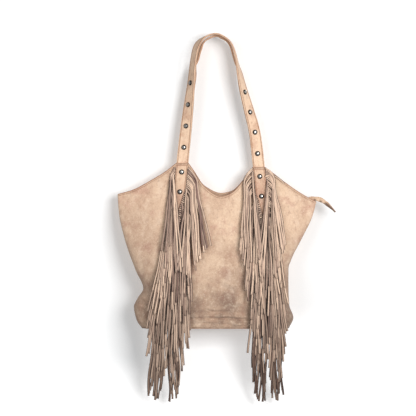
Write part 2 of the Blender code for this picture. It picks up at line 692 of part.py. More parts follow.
def make_tail():
    """The suede-wrapped zip end, a strip that turns on edge to pass over the corner."""
    path = smooth_path(TAIL_PATH, 15)
    rings = []
    for i, (x, z, lean) in enumerate(path):
        before = path[max(i - 1, 0)]
        after = path[min(i + 1, len(path) - 1)]
        travel = Vector((after[0] - before[0], 0, after[1] - before[1])).normalized()
        up = Vector((-travel.z, 0, travel.x))
        turn = math.radians(lean)
        across = math.cos(turn) * Vector((0, 1, 0)) + math.sin(turn) * up
        normal = travel.cross(across)
        middle = Vector((x, 0, z))
        outline = ((-1, -0.6), (-1, 0.6), (-0.7, 1), (0.7, 1), (1, 0.6), (1, -0.6), (0.7, -1), (-0.7, -1))
        rings.append([middle + across * w * TAIL_W / 2 + normal * t * TAIL_T / 2 for w, t in outline])
    return loft("zip_tail", rings, suede("zip_tail", (214, 176, 146)), triangles=True)


def build():
    for obj in list(bpy.data.objects):
        bpy.data.objects.remove(obj, do_unlink=True)
    make_base()
    make_lining()
    handles = (("front", -1, FRONT_LINE, FRONT_TWIST), ("back", 1, BACK_LINE, BACK_TWIST))
    for face_name, face, line, turns in handles:
        panel = make_panel(face_name + "_panel", face)
        frames = strap_frames(line, turns, face)
        handle = make_handle("handle_" + face_name, frames)
        patches = [make_patch(f"patch_{face_name}_{side}", side, face) for side in TAB_X]
        seats = []
        for side in TAB_X:
            for index, z in enumerate(STUD_Z[side]):
                frame = frame_at(frames, side, z)
                back, front = stud_stack(frame, index, side)
                seats.append((frame, back, front))
                make_stud(f"stud_{face_name}_{side}_{index + 1}", frame, back, front)
        cutter = make_hole_cutter(f"stud_holes_{face_name}", seats)
        for piece in [panel, handle] + patches:
            cut(piece, cutter)
        make_tape("zip_tape_" + face_name, face)
        make_teeth("zip_teeth_" + face_name, face)
    for name, (side, way, reach, flare) in COMBS.items():
        make_comb(name, side, way, reach, flare)
    make_slider()
    make_pull()
    make_tail()


build()
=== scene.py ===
import math
import random

import bpy
import numpy as np
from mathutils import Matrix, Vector


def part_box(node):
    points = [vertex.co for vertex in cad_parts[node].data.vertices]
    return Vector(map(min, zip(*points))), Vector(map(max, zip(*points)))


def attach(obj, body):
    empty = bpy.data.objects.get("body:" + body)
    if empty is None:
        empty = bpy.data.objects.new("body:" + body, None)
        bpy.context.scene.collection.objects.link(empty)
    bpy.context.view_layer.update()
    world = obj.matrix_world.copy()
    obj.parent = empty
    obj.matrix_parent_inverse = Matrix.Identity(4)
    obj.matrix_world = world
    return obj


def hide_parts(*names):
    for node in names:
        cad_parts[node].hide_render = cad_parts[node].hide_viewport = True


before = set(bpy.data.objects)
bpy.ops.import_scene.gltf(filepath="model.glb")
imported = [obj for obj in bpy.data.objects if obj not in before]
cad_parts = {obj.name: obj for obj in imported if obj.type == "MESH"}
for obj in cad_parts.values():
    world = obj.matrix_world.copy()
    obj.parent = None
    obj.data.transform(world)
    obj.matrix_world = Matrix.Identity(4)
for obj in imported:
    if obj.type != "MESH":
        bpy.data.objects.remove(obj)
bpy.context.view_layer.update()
random.seed(7)

# The photograph's framing: one pixel of its 416 is 2.25 mm at the bag
photo = {"pixels": 416, "mmPerPixel": 2.25, "hangX": 215.0, "hangY": 36.5}

# Camera, wall and light; the wall's line runs from its foot up as (height, depth)

view = {"distance": 7.0, "facing": 0.025, "sensor": 36, "wallSize": 9.0, "wallTop": 3.0, "floorZ": -1.25,
        "wall": [(-1.25, -0.55), (-1.0, -0.16), (-0.80, -0.005), (-0.66, 0.066), (-0.50, 0.062), (-0.30, 0.033),
                 (0.0, 0.033)],
        "glow": (0.06, 0.07, 0.075, 1), "shadowLiftGlow": (0.30, 0.30, 0.30, 1), "world": 0.36, "aim": (0, 0, -0.4),
        "lampSize": 1.6}
lamps = {"key": ((1.6, -3.25, 0.2), 95), "fill": ((-1.7, -3.2, 0.0), 30), "rear": ((0.8, 2.6, 1.0), 55)}


def addCamera():
    width = photo["pixels"] * photo["mmPerPixel"] / 1000
    middle = photo["pixels"] / 2
    data = bpy.data.cameras.new("camera")
    data.sensor_width = view["sensor"]
    data.lens = view["sensor"] * (view["distance"] - view["facing"]) / width
    data.clip_end = 60
    camera = bpy.data.objects.new("camera", data)
    bpy.context.scene.collection.objects.link(camera)
    camera.location = ((middle - photo["hangX"]) * photo["mmPerPixel"] / 1000, -view["distance"],
                       (photo["hangY"] - middle) * photo["mmPerPixel"] / 1000)
    camera.rotation_euler = (math.pi / 2, 0, 0)
    bpy.context.scene.camera = camera


# Shader maths as expressions

class Signal:
    # One socket; operators on it add Math nodes

    def __init__(self, sheet, socket):
        self.sheet = sheet
        self.socket = socket

    def math(self, operation, *others):
        return self.sheet.node("Math", {"operation": operation}, dict(enumerate((self, *others))))

    def __add__(self, other):
        return self.math("ADD", other)

    def __mul__(self, other):
        return self.math("MULTIPLY", other)

    def __rsub__(self, other):
        return self.sheet.node("Math", {"operation": "SUBTRACT"}, {0: other, 1: self})

    def clamped(self):
        return self.sheet.node("Clamp", {}, {"Value": self}, "Result")


class Sheet:
    # A new material and a short way to add its nodes

    def __init__(self, name, **fixed):
        self.material = bpy.data.materials.new(name)
        self.material.use_nodes = True
        self.tree = self.material.node_tree
        self.shader = self.tree.nodes["Principled BSDF"]
        for key, value in fixed.items():
            self.shader.inputs[key.replace("_", " ")].default_value = value

    def node(self, kind, settings, values, output=0):
        made = self.tree.nodes.new("ShaderNode" + kind)
        for key, value in settings.items():
            setattr(made, key, value)
        for key, value in values.items():
            if isinstance(value, Signal):
                self.tree.links.new(value.socket, made.inputs[key])
            else:
                made.inputs[key].default_value = value
        return Signal(self, made.outputs[output])

    def place(self):
        return self.node("TexCoord", {}, {}, "Object")

    def noise(self, scale, detail, rough=0.5, at=None, stretch=(1, 1, 1), shift=(0, 0, 0), output=0):
        where = at or self.place()
        if stretch != (1, 1, 1) or any(shift):
            where = self.node("Mapping", {}, {"Vector": where, "Scale": stretch, "Location": shift}, "Vector")
        return self.node("TexNoise", {}, {"Vector": where, "Scale": scale, "Detail": detail, "Roughness": rough},
                         output)

    def between(self, value, low, high, to=(0.0, 1.0)):
        return self.node("MapRange", {"interpolation_type": "SMOOTHSTEP"},
                         {"Value": value, "From Min": low, "From Max": high, "To Min": to[0], "To Max": to[1]})

    def mix(self, first, second, share):
        return self.node("Mix", {"data_type": "RGBA"}, {"Factor": share, 6: first, 7: second}, 2)

    def stain(self, colour, tone, value, low, high, most):
        return self.mix(colour, srgb(*tone), self.between(value, low, high, (0.0, most)))

    def attribute(self, name):
        return self.node("Attribute", {"attribute_name": name}, {}, "Fac")

    def axis(self, name):
        return self.node("SeparateXYZ", {}, {"Vector": self.place()}, name)

    def bump(self, height, distance, strength, onto=None):
        values = {"Height": height, "Distance": distance, "Strength": strength}
        if onto:
            values["Normal"] = onto
        return self.node("Bump", {}, values, "Normal")

    def finished(self, **driven):
        for key, signal in driven.items():
            self.tree.links.new(signal.socket, self.shader.inputs[key.replace("_", " ")])
        return self.material


def srgb(r, g, b):
    return tuple(((c / 255 + 0.055) / 1.055) ** 2.4 if c > 10 else c / 3294 for c in (r, g, b)) + (1.0,)


# Suede: light, mid, rose, dull and edge tones; heights where the dull tone starts and is full, and its share;
# how mottled it is; the share of dull tone on its left, painted shade on the side turned from the light

suedeTones = {
    "body": {"tones": ((233, 201, 172), (216, 183, 156), (203, 158, 138), (142, 117, 101), (150, 104, 82)),
             "low": (-0.40, -0.66, 0.92), "mottle": 1.0, "leftShade": 0.17},
    "strap": {"tones": ((247, 213, 183), (234, 199, 169), (208, 164, 136), (204, 166, 138), (176, 130, 102)),
              "low": (0.4, 0.5, 0.0), "mottle": 0.9, "leftShade": 0.0},
    # On the patch the dull tone darkens its lower end: painted shade of the fringe hanging over it
    "patch": {"tones": ((234, 200, 170), (220, 182, 154), (204, 156, 134), (166, 130, 112), (158, 112, 90)),
              "low": (-0.335, -0.372, 0.35), "mottle": 1.0, "leftShade": 0.0},
    # The zip end's edge tone is the painted shade under its fold
    "tail": {"tones": ((222, 188, 158), (206, 168, 140), (186, 144, 120), (180, 144, 120), (74, 52, 42)),
             "low": (0.4, 0.5, 0.0), "mottle": 1.0, "leftShade": 0.0},
    "base": {"tones": ((196, 164, 142), (176, 144, 124), (160, 122, 106), (150, 122, 106), (132, 96, 80)),
             "low": (-0.6, -0.66, 0.5), "mottle": 1.0, "leftShade": 0.0},
}


def suede(kind, seed=0.0):
    # Napped suede: wide blotches, brushed patches, clouds and fine pile
    tone = suedeTones[kind]
    light, mid, rose, dull, edge = [srgb(*colour) for colour in tone["tones"]]
    start, full, most = tone["low"]
    s = Sheet(kind + "Suede", Roughness=0.93, Sheen_Weight=0.12, Sheen_Roughness=0.6, Specular_IOR_Level=0.2)
    blotch = s.noise(9, 4, 0.55, shift=(seed, 0, seed))
    brushed = s.noise(30, 5, 0.62, shift=(0, seed, 0))
    warp = s.node("VectorMath", {"operation": "MULTIPLY_ADD"},
                  {0: s.noise(14, 3, output="Color"), 1: (0.05, 0.05, 0.05), 2: s.place()}, "Vector")
    cloud = s.noise(52, 5, 0.62, at=warp, stretch=(1.0, 1.0, 0.55), shift=(seed, seed, 0))
    fleck = s.noise(135, 4, 0.68, stretch=(1.0, 1.0, 0.7), shift=(0, 0, seed))
    grain = s.noise(330, 3, 0.7)
    colour = s.mix(light, mid, s.between(blotch, 0.40, 0.60))
    colour = s.mix(colour, rose, s.between(brushed, 0.48, 0.70, (0.0, 0.7)))
    low = s.between(s.axis("Z") * -1, -start, -full, (0.0, most))
    low = low * (1 - s.between(s.axis("X") * -1, 0.14, 0.175, (0.0, 0.45)))
    colour = s.mix(colour, dull, (low * s.between(blotch + brushed, 0.8, 1.2, (0.6, 1.2))).clamped())
    # Painted shade: the body's left side, turned from the light, takes some dull tone below the top edge
    leftShade = s.between(s.axis("X") * -1, 0.09, 0.17, (0.0, tone["leftShade"]))
    colour = s.mix(colour, dull, leftShade * s.between(s.axis("Z") * -1, 0.36, 0.42))
    for value, first, last, stain, share in (
            (cloud, 0.48, 0.76, (158, 112, 94), 0.36), (cloud * -1, -0.50, -0.26, (252, 228, 204), 0.34),
            (fleck, 0.50, 0.78, (146, 104, 88), 0.40), (fleck * -1, -0.47, -0.25, (250, 228, 200), 0.32),
            (grain, 0.50, 0.80, (132, 96, 82), 0.36), (grain * -1, -0.48, -0.24, (255, 240, 220), 0.30)):
        colour = s.stain(colour, stain, value, first, last, share * tone["mottle"])
    # Rim tone: darker edges and seam grooves; on the zip's wrapped end it is painted shade
    colour = s.mix(colour, edge, (s.attribute("rim") * 0.8).clamped())
    rough = s.bump(s.noise(900, 2, 0.7), 0.0004, 0.5)
    for value, distance in ((cloud, 0.0022), (fleck, 0.0012), (grain, 0.0009)):
        rough = s.bump(value, distance, 0.6, rough)
    return s.finished(Base_Color=colour, Normal=rough)


def fringeSuede():
    # Cut strips, each with its own tone; painted shade on their edges, on strips lying under others and on the
    # lower fringe; the very tips a little darker
    s = Sheet("fringeSuede", Roughness=0.92, Sheen_Weight=0.1, Sheen_Roughness=0.6, Specular_IOR_Level=0.2)
    strand = s.attribute("strand")
    # Painted shade: the fringe darker towards the bottom, where its bundles hang in shade
    low = s.between(s.axis("Z") * -1, 0.46, 0.76)
    colour = s.mix(srgb(242, 210, 184), srgb(144, 116, 106), strand)
    colour = s.mix(colour, s.mix(srgb(190, 164, 145), srgb(84, 66, 56), strand), (low * 0.9).clamped())
    streak = s.noise(150, 4, 0.65, stretch=(1, 1, 0.3))
    colour = s.stain(colour, (132, 100, 88), streak, 0.50, 0.74, 0.45)
    colour = s.stain(colour, (250, 226, 204), streak * -1, -0.46, -0.28, 0.3)
    # Painted shade: strip edges darkened to give the dark slits between strips
    colour = s.stain(colour, (46, 34, 34), s.attribute("across"), 0.48, 0.88, 0.96)
    # Painted shade on strips that lie under others
    colour = s.mix(colour, srgb(66, 46, 42), s.attribute("deep"))
    colour = s.stain(colour, (120, 92, 78), s.attribute("along"), 0.985, 1.0, 0.3)
    rough = s.bump(s.noise(520, 3, 0.65), 0.0005, 0.6, s.bump(streak, 0.0012, 0.6))
    return s.finished(Base_Color=colour, Normal=rough)


def threadMaterial():
    s = Sheet("stitchThread", Roughness=0.7)
    ply = s.noise(900, 2)
    colour = s.mix(srgb(158, 112, 84), srgb(120, 82, 62), s.between(ply, 0.35, 0.7))
    return s.finished(Base_Color=colour, Normal=s.bump(ply, 0.0002, 0.6))


def agedMetal(name, dark, bright, worn):
    # Antique plating: dark in the hollows, rubbed bright on the crown
    s = Sheet(name, Metallic=1.0)
    grime = s.noise(420, 4, 0.6)
    share = s.between(s.attribute("crown"), *worn) * s.between(grime, 0.25, 0.6, (0.7, 1.0))
    return s.finished(Base_Color=s.mix(dark, bright, share.clamped()), Normal=s.bump(grime, 0.0002, 0.2),
                      Roughness=s.between(grime, 0.3, 0.7, (0.20, 0.36)))


def clothMaterial(name, light, dark, threads):
    # Plain weave in the XZ plane
    s = Sheet(name, Roughness=0.85, Sheen_Weight=0.1)
    x = s.axis("X") * threads
    z = (s.axis("Z") + s.axis("Y")) * threads
    weave = (x * (2 * math.pi)).math("SINE") * (z * (2 * math.pi)).math("SINE")
    share = s.between(weave, -1, 1) * 0.5 + s.noise(240, 3, 0.6) * 0.5
    return s.finished(Base_Color=s.mix(srgb(*light), srgb(*dark), share.clamped()),
                      Normal=s.bump(weave, 0.0003, 0.5))


# Mesh helpers

def meshPiece(name, verts, faces, material, slot, body="bag", replaces=(), smooth=True, **attributes):
    mesh = bpy.data.meshes.new(name)
    mesh.from_pydata([tuple(v) for v in verts], [], faces)
    mesh.validate()
    mesh.materials.append(material)
    for key, values in attributes.items():
        mesh.attributes.new(key, "FLOAT", "POINT").data.foreach_set("value", np.array(values, np.float32))
    obj = bpy.data.objects.new(name, mesh)
    bpy.context.scene.collection.objects.link(obj)
    if smooth:
        mesh.shade_smooth()
    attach(obj, body)
    if replaces:
        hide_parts(*replaces)
    return obj


def select(obj):
    bpy.ops.object.select_all(action="DESELECT")
    obj.select_set(True)
    bpy.context.view_layer.objects.active = obj


def applied(obj, kind, **settings):
    select(obj)
    modifier = obj.modifiers.new(kind.lower(), kind)
    for key, value in settings.items():
        setattr(modifier, key, value)
    bpy.ops.object.modifier_apply(modifier=modifier.name)


def fixNormals(obj, merge=0.0):
    select(obj)
    bpy.ops.object.mode_set(mode="EDIT")
    bpy.ops.mesh.select_all(action="SELECT")
    if merge:
        bpy.ops.mesh.remove_doubles(threshold=merge)
    bpy.ops.mesh.normals_make_consistent(inside=False)
    bpy.ops.object.mode_set(mode="OBJECT")


def ringLoft(rings, capped=True, base=0, flipped=False):
    # Points and faces of a skin through rings of equal length
    size = len(rings[0])
    last = base + (len(rings) - 1) * size
    faces = []
    for start in range(base, last, size):
        for i in range(size):
            j = (i + 1) % size
            faces.append((start + j, start + i, start + size + i, start + size + j))
    if capped:
        faces.append(tuple(range(base, base + size)))
        faces.append(tuple(range(last + size - 1, last - 1, -1)))
    return [p for ring in rings for p in ring], [f[::-1] for f in faces] if flipped else faces


def loftPiece(name, rings, material, slot, body="bag", replaces=(), **attributes):
    verts, faces = ringLoft(rings)
    fixNormals(meshPiece(name, verts, faces, material, slot, body, replaces, **attributes))


def gridFaces(wide, tall, base=0, flipped=False):
    # Quads over rows of points
    starts = [base + r * wide + c for r in range(tall - 1) for c in range(wide - 1)]
    return [(a, a + 1, a + wide + 1, a + wide)[::-1 if flipped else 1] for a in starts]


def smoothValue(points, at):
    # Smooth curve through (position, value) points, flat beyond its ends
    if at <= points[0][0]:
        return points[0][1]
    if at >= points[-1][0]:
        return points[-1][1]
    steps = [(b[1] - a[1]) / (b[0] - a[0]) for a, b in zip(points, points[1:])]
    slopes = [2 * a * b / (a + b) if a * b > 0 else 0.0 for a, b in zip(steps, steps[1:])]
    slopes = [steps[0]] + slopes + [steps[-1]]
    i = next(k for k in range(len(steps)) if at <= points[k + 1][0])
    width = points[i + 1][0] - points[i][0]
    t = (at - points[i][0]) / width
    return ((1 + 2 * t) * (1 - t) ** 2 * points[i][1] + t * (1 - t) ** 2 * width * slopes[i]
            + t * t * (3 - 2 * t) * points[i + 1][1] + t * t * (t - 1) * width * slopes[i + 1])


def smoothPath(points, count):
    # Evenly spaced points on a smooth curve through the given ones
    knots = [np.array(p, float) for p in points]
    knots = [2 * knots[0] - knots[1]] + knots + [2 * knots[-1] - knots[-2]]
    dense = []
    for a, b, c, d in zip(knots, knots[1:], knots[2:], knots[3:]):
        for step in range(30):
            t = step / 30
            dense.append(0.5 * (2 * b + (c - a) * t + (2 * a - 5 * b + 4 * c - d) * t * t
                                + (3 * b - a - 3 * c + d) * t ** 3))
    dense = np.array(dense + [knots[-2]])
    run = runOf(dense[:, :2])
    return pointAt(dense, run, np.linspace(0, run[-1], count)).T


def runOf(points):
    # Distance travelled up to each row
    return np.concatenate([[0], np.cumsum(np.linalg.norm(np.diff(points, axis=0), axis=1))])


def pointAt(points, run, at):
    return np.array([np.interp(at, run, column) for column in points.T])


def headings(points):
    last = len(points) - 1
    return [(points[min(i + 1, last)] - points[max(i - 1, 0)]).normalized() for i in range(last + 1)]


def softStep(t):
    t = max(0.0, min(1.0, t))
    return t * t * (3 - 2 * t)


def bell(away, width):
    return math.exp(-(away / width) ** 2)


# The body's shape, the same outlines as the solids

faces = {"front": -1, "back": 1}
sides = ("left", "right")
bag = {
    "baseZ": -0.655,
    "left": [(-0.655, -0.166), (-0.647, -0.1725), (-0.637, -0.1775), (-0.609, -0.183), (-0.588, -0.174),
             (-0.568, -0.162), (-0.527, -0.179), (-0.459, -0.203), (-0.396, -0.217), (-0.355, -0.220)],
    "right": [(-0.655, 0.168), (-0.633, 0.177), (-0.605, 0.168), (-0.560, 0.166), (-0.523, 0.166),
              (-0.503, 0.172), (-0.457, 0.195), (-0.405, 0.220), (-0.372, 0.229)],
    "depth": [(-0.655, 0.046), (-0.600, 0.048), (-0.520, 0.045), (-0.450, 0.032), (-0.380, 0.0180),
              (-0.340, 0.0135), (-0.285, 0.0105)],
    "square": [(-0.655, 8.0), (-0.560, 6.0), (-0.450, 3.5), (-0.380, 3.0), (-0.285, 3.0)],
    "leftCorner": (-0.220, -0.355),
    "rightCorner": (0.229, -0.372),
    "leftShoulder": [(-0.187, -0.346), (-0.141, -0.322), (-0.113, -0.305)],
    "dip": [(-0.048, -0.302), (-0.024, -0.338), (0.014, -0.360), (0.036, -0.353), (0.070, -0.316)],
    "rightShoulder": [(0.134, -0.310), (0.157, -0.328), (0.200, -0.357)],
    "tabX": {"left": -0.0735, "right": 0.099},
    "tabZ": {"left": -0.285, "right": -0.294},
    "tabHalf": 0.0138,
    "rearDip": 0.0075,
    "suede": 0.0015,
    "proud": 0.00015,
    "least": 0.0002,
    "phase": {-1: 0.4, 1: 2.1},
    "columns": 190,
    "rows": 240,
}
tabMarks = [bag["tabX"][side] + way * bag["tabHalf"] for side in sides for way in (-1, 1)]


def topEdge(x):
    # Height of the top edge: shoulder, tab, dip, tab, shoulder
    leftIn, leftOut, rightIn, rightOut = tabMarks
    leftTop, rightTop = bag["tabZ"]["left"], bag["tabZ"]["right"]
    if x <= leftIn:
        return smoothValue([bag["leftCorner"], *bag["leftShoulder"], (leftIn, leftTop)], x)
    if x <= leftOut:
        return leftTop
    if x < rightIn:
        return smoothValue([(leftOut, leftTop), *bag["dip"], (rightIn, rightTop)], x)
    if x <= rightOut:
        return rightTop
    return smoothValue([(rightOut, rightTop), *bag["rightShoulder"], bag["rightCorner"]], x)


def panelTop(x, side):
    # The top edge of one face; the rear dip shows above the front one
    return topEdge(x) + (bag["rearDip"] * bell(x - 0.013, 0.034) if side > 0 else 0.0)


def topX(u):
    return bag["leftCorner"][0] + (bag["rightCorner"][0] - bag["leftCorner"][0]) * u


def wallSize(z, inset=0.0):
    # Middle, half width, half depth and squareness at one height
    left, right = smoothValue(bag["left"], z), smoothValue(bag["right"], z)
    return ((left + right) / 2, (right - left) / 2 - inset, smoothValue(bag["depth"], z) - inset,
            smoothValue(bag["square"], z))


def wallPoint(u, z):
    middle, half, deep, square = wallSize(z)
    share = 2 * u - 1
    return middle + half * share, deep * max(0.0, 1 - abs(share) ** square) ** 0.5


def wallDepth(x, z, inset=0.0, widest=1.0):
    middle, half, deep, square = wallSize(z, inset)
    share = max(-widest, min(widest, (x - middle) / half))
    return deep * max(0.0, 1 - abs(share) ** square) ** 0.5


def skinDepth(x, z, inset=0.0, widest=1.0):
    return wallDepth(x, z, inset, widest) + bag["proud"]


# Folds: where each starts and ends, its width and its depth
folds = [
    ((-0.150, -0.597), (-0.184, -0.590), 0.0022, 0.0022), ((-0.140, -0.607), (-0.180, -0.600), 0.0018, 0.0012),
    ((-0.075, -0.6335), (0.110, -0.6365), 0.0030, 0.0022), ((-0.078, -0.6450), (0.095, -0.6440), 0.0022, 0.0014),
    ((-0.060, -0.6185), (0.060, -0.6215), 0.0034, 0.0015), ((-0.145, -0.405), (-0.118, -0.432), 0.0036, 0.0014),
    ((-0.132, -0.398), (-0.112, -0.415), 0.0026, 0.0010), ((-0.028, -0.545), (0.048, -0.575), 0.0050, 0.0016),
    ((0.142, -0.595), (0.176, -0.600), 0.0022, 0.0016),
]


def ripple(x, z, phase):
    # Soft hollows, folds and base creases of the hanging suede
    sag = 1.3 * math.sin(x * 34 + phase) * math.sin(z * 21 + 1.3 + phase)
    drag = 0.8 * math.sin((x * 0.8 + z) * 62 + phase * 2 + 1.5 * math.sin(x * 25))
    low = softStep((-0.598 - z) / 0.025)
    wander = 2.2 * math.sin(x * 38 + phase) + 1.3 * math.sin(x * 97 + 2)
    broken = 0.55 + 0.45 * math.sin(x * 53 + z * 90 + phase)
    crease = low * broken * (math.sin(z * 420 + wander) + 0.7 * math.sin(z * 790 + 1.6 * wander))
    edge = softStep((topEdge(x) - z) / 0.03)
    sewn = 1 - 0.9 * bell(z + 0.385, 0.028)
    depth = (sag + drag - 1.6) * 0.0008 * edge * sewn + crease * 0.0008 - 0.0008 * low
    for start, end, width, deep in folds:
        a, b = Vector(start), Vector(end)
        p = Vector((x, z))
        t = (p - a).dot(b - a) / (b - a).length_squared
        ends = softStep((t + 0.15) / 0.3) * softStep((1.15 - t) / 0.3)
        away = (p - a.lerp(b, t)).length + 0.0012 * math.sin(t * 9 + phase)
        depth -= deep * sewn * ends * bell(away, width)
        depth += 0.5 * deep * ends * bell(away - 2.2 * width, width)
    return depth


def rippledPoint(u, z, side):
    x, y = wallPoint(u, z)
    return x, y + ripple(x, z, bag["phase"][side]) * min(1.0, (1 - abs(2 * u - 1)) * 12)


def bodyPanel(name, side, material, node):
    # One face of the bag, its columns closest at the corners, as a skin that gets its thickness inwards
    span = bag["rightCorner"][0] - bag["leftCorner"][0]
    marks = [0.0] + [(x - bag["leftCorner"][0]) / span for x in tabMarks] + [1.0]
    columns = []
    for k, (a, b) in enumerate(zip(marks, marks[1:])):
        count = max(6, round(bag["columns"] * (b - a)))
        for i in range(count):
            t = i / count
            t = 1 - math.cos(t * math.pi / 2) if k == 0 else math.sin(t * math.pi / 2) if k == 4 else t
            columns.append(a + (b - a) * t)
    columns.append(1.0)
    verts = []
    for r in range(bag["rows"] + 1):
        v = r / bag["rows"]
        for u in columns:
            z = bag["baseZ"] + (panelTop(topX(u), side) - bag["baseZ"]) * v
            x, y = rippledPoint(u, z, side)
            verts.append((x, side * (max(0.0, y) + bag["proud"]), z))
    quads = gridFaces(len(columns), bag["rows"] + 1, flipped=side > 0)
    obj = meshPiece(name, verts, quads, material, "suede_body", replaces=(node,))
    applied(obj, "SOLIDIFY", thickness=bag["suede"], offset=-1)


lining = {"columns": 60, "rows": 70, "top": -0.390, "foot": bag["baseZ"] + 0.004, "layers": (0.0006, 0.0012)}


def liningPiece(material):
    # Two cotton faces just inside the suede, following its hollows
    verts, quads = [], []
    for side in faces.values():
        for layer in lining["layers"]:
            base = len(verts)
            for r in range(lining["rows"] + 1):
                for c in range(lining["columns"] + 1):
                    u = 0.02 + 0.96 * c / lining["columns"]
                    top = min(topEdge(topX(u)), lining["top"])
                    z = lining["foot"] + (top - lining["foot"]) * r / lining["rows"]
                    x, y = rippledPoint(u, z, side)
                    verts.append((x, side * max(bag["least"], y - bag["suede"] - layer), z))
            sheet = gridFaces(lining["columns"] + 1, lining["rows"] + 1, base)
            # The inner layer faces the other way, its quads split along the same diagonal
            quads += [f[:1] + f[:0:-1] for f in sheet] if layer == lining["layers"][1] else sheet
    meshPiece("lining_cloth", verts, quads, material, "lining_cotton", replaces=("lining",))


# The rim of the base as (inset, level), from its upper edge round to the stitched groove
baseRim = [(0.0008, 1.0), (0.0003, 0.5), (0.0010, 0.1), (0.0040, 0.0), (0.0056, 0.3), (0.0072, 0.0)]


def basePiece(material, stitch):
    # The stiff suede base, rolled at its rim and sewn all round
    low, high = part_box("base_panel")
    walls = [wallPoint(k / 60, bag["baseZ"]) for k in range(61)]
    outline = [Vector((x, -y)) for x, y in walls] + [Vector(p) for p in reversed(walls[1:-1])]
    middle = Vector(((low[0] + high[0]) / 2, 0))
    thick = high[2] - low[2]
    rings = []
    for inset, level in baseRim:
        ring = []
        for p in outline:
            q = p + (middle - p).normalized() * min(inset, (middle - p).length)
            ring.append(Vector((q.x, q.y, low[2] + thick * level)))
        rings.append(ring)
    groove = rings[4] + rings[4][:1]
    seam = [(Vector((p.x, p.y, low[2] + thick * 0.2)), Vector((0, 0, -1))) for p in groove]
    loftPiece("base_cloth", rings, material, "suede_base", replaces=("base_panel",))
    sewSeams("base_stitches", [seam], stitch, "suede_base")


# Handles: both lines share their ends; twist and spread by height

handles = {
    "start": [(-0.0805, -0.366), (-0.0735, -0.285), (-0.0680, -0.232)],
    "front": [(-0.0590, -0.151), (-0.0540, -0.107), (-0.0495, -0.060), (-0.0420, -0.023), (-0.0260, -0.0025),
              (0.001, 0.0068), (0.0210, -0.0005), (0.0360, -0.0140), (0.0445, -0.033), (0.0530, -0.072),
              (0.0640, -0.118)],
    "back": [(-0.0588, -0.151), (-0.0535, -0.107), (-0.0455, -0.071), (-0.0404, -0.0504), (-0.0339, -0.0290),
             (-0.0228, -0.0083), (0.001, 0.0030), (0.0150, -0.0015), (0.0285, -0.0104), (0.0375, -0.0232),
             (0.0424, -0.0394), (0.0458, -0.053), (0.0520, -0.074), (0.0638, -0.118)],
    "end": [(0.0770, -0.166), (0.0900, -0.218), (0.099, -0.294), (0.1060, -0.374)],
    "frontTwist": {"left": [(-0.285, 0.0), (-0.181, 30.0), (-0.109, 54.0), (-0.075, 62.0), (-0.020, 64.0),
                            (0.004, 90.0)],
                   "right": [(-0.285, 0.0), (-0.181, 32.0), (-0.121, 54.0), (-0.085, 65.0), (-0.055, 83.0),
                             (-0.018, 90.0)]},
    "backTwist": {"left": [(-0.285, 0.0), (-0.181, 30.0), (-0.120, 51.0), (-0.092, 57.0), (-0.068, 84.0),
                           (-0.048, 104.0), (-0.028, 102.0), (-0.009, 93.0), (0.001, 90.0)],
                  "right": [(-0.285, 0.0), (-0.181, 32.0), (-0.130, 50.0), (-0.108, 58.0), (-0.080, 78.0),
                            (-0.055, 98.0), (-0.028, 101.0), (-0.009, 93.0), (0.001, 90.0)]},
    "spread": [(-0.285, 0.0063), (-0.190, 0.0110), (-0.110, 0.0128), (-0.070, 0.0142), (-0.040, 0.0128),
               (0.0, 0.0085)],
    "archX": 0.001, "half": 0.0135, "thick": 0.0036, "round": 0.0012, "stations": 260, "seam": 0.0026,
    "behind": 0.0008, "seamWide": 0.0008, "sewnAbove": -0.30,
}
seamReach = handles["half"] - handles["seam"]


def strapFrames(faceName, side):
    # Middle, travel, normal and crosswise direction at each station
    middles = []
    for x, z in smoothPath(handles["start"] + handles[faceName] + handles["end"], handles["stations"]):
        if z < min(bag["tabZ"].values()) - 0.001:
            near = min(skinDepth(x + dx, z, bag["suede"]) for dx in (-handles["half"], 0, handles["half"]))
            y = near - handles["behind"] - handles["thick"] / 2
        else:
            y = smoothValue(handles["spread"], z)
        middles.append(Vector((x, side * y, z)))
    frames = []
    for middle, travel in zip(middles, headings(middles)):
        out = Vector((-travel.z, 0, travel.x)).normalized()
        turns = handles[faceName + "Twist"]["left" if middle.x < handles["archX"] else "right"]
        twist = math.radians(smoothValue(turns, middle.z))
        normal = math.cos(twist) * Vector((0, side, 0)) + math.sin(twist) * out
        normal = (normal - normal.dot(travel) * travel).normalized()
        frames.append((middle, travel, normal, travel.cross(normal)))
    return frames


def strapSection():
    # Half-padded strap: rounded edges, a shallow groove under each seam
    half, thick, edge = handles["half"], handles["thick"] / 2, handles["round"]
    top = []
    for k in range(25):
        w = -half + edge + (2 * half - 2 * edge) * k / 24
        top.append((w, thick - 0.0004 * bell(abs(w) - seamReach, handles["seamWide"])))
    right = [(half - edge + edge * math.sin(a), (thick - edge) + edge * math.cos(a))
             for a in (math.radians(d) for d in (30, 60, 90))]
    ring = top + right + [(w, -t) for w, t in reversed(right)] + [(w, -t) for w, t in reversed(top)]
    left = [(-w, -t) for w, t in right]
    return ring + left + [(w, -t) for w, t in reversed(left)]


def strapPiece(name, frames, material, node):
    section = strapSection()
    rings = [[m + across * w + normal * t for w, t in section] for m, travel, normal, across in frames]
    rim = [max(bell(abs(w) - seamReach, 0.0010), 0.9 * (abs(t) < handles["thick"] / 2 - 0.0006))
           for w, t in section] * len(frames)
    loftPiece(name, rings, material, "suede_strap", replaces=(node,), rim=rim)


# Stitches, one small barrel modelled once and repeated along every seam

thread = {"length": 0.0022, "gap": 0.0012, "radius": 0.00042, "sink": 0.0003,
          "barrel": [(-0.5, 0.25), (-0.38, 0.85), (0.0, 1.0), (0.38, 0.85), (0.5, 0.25)]}


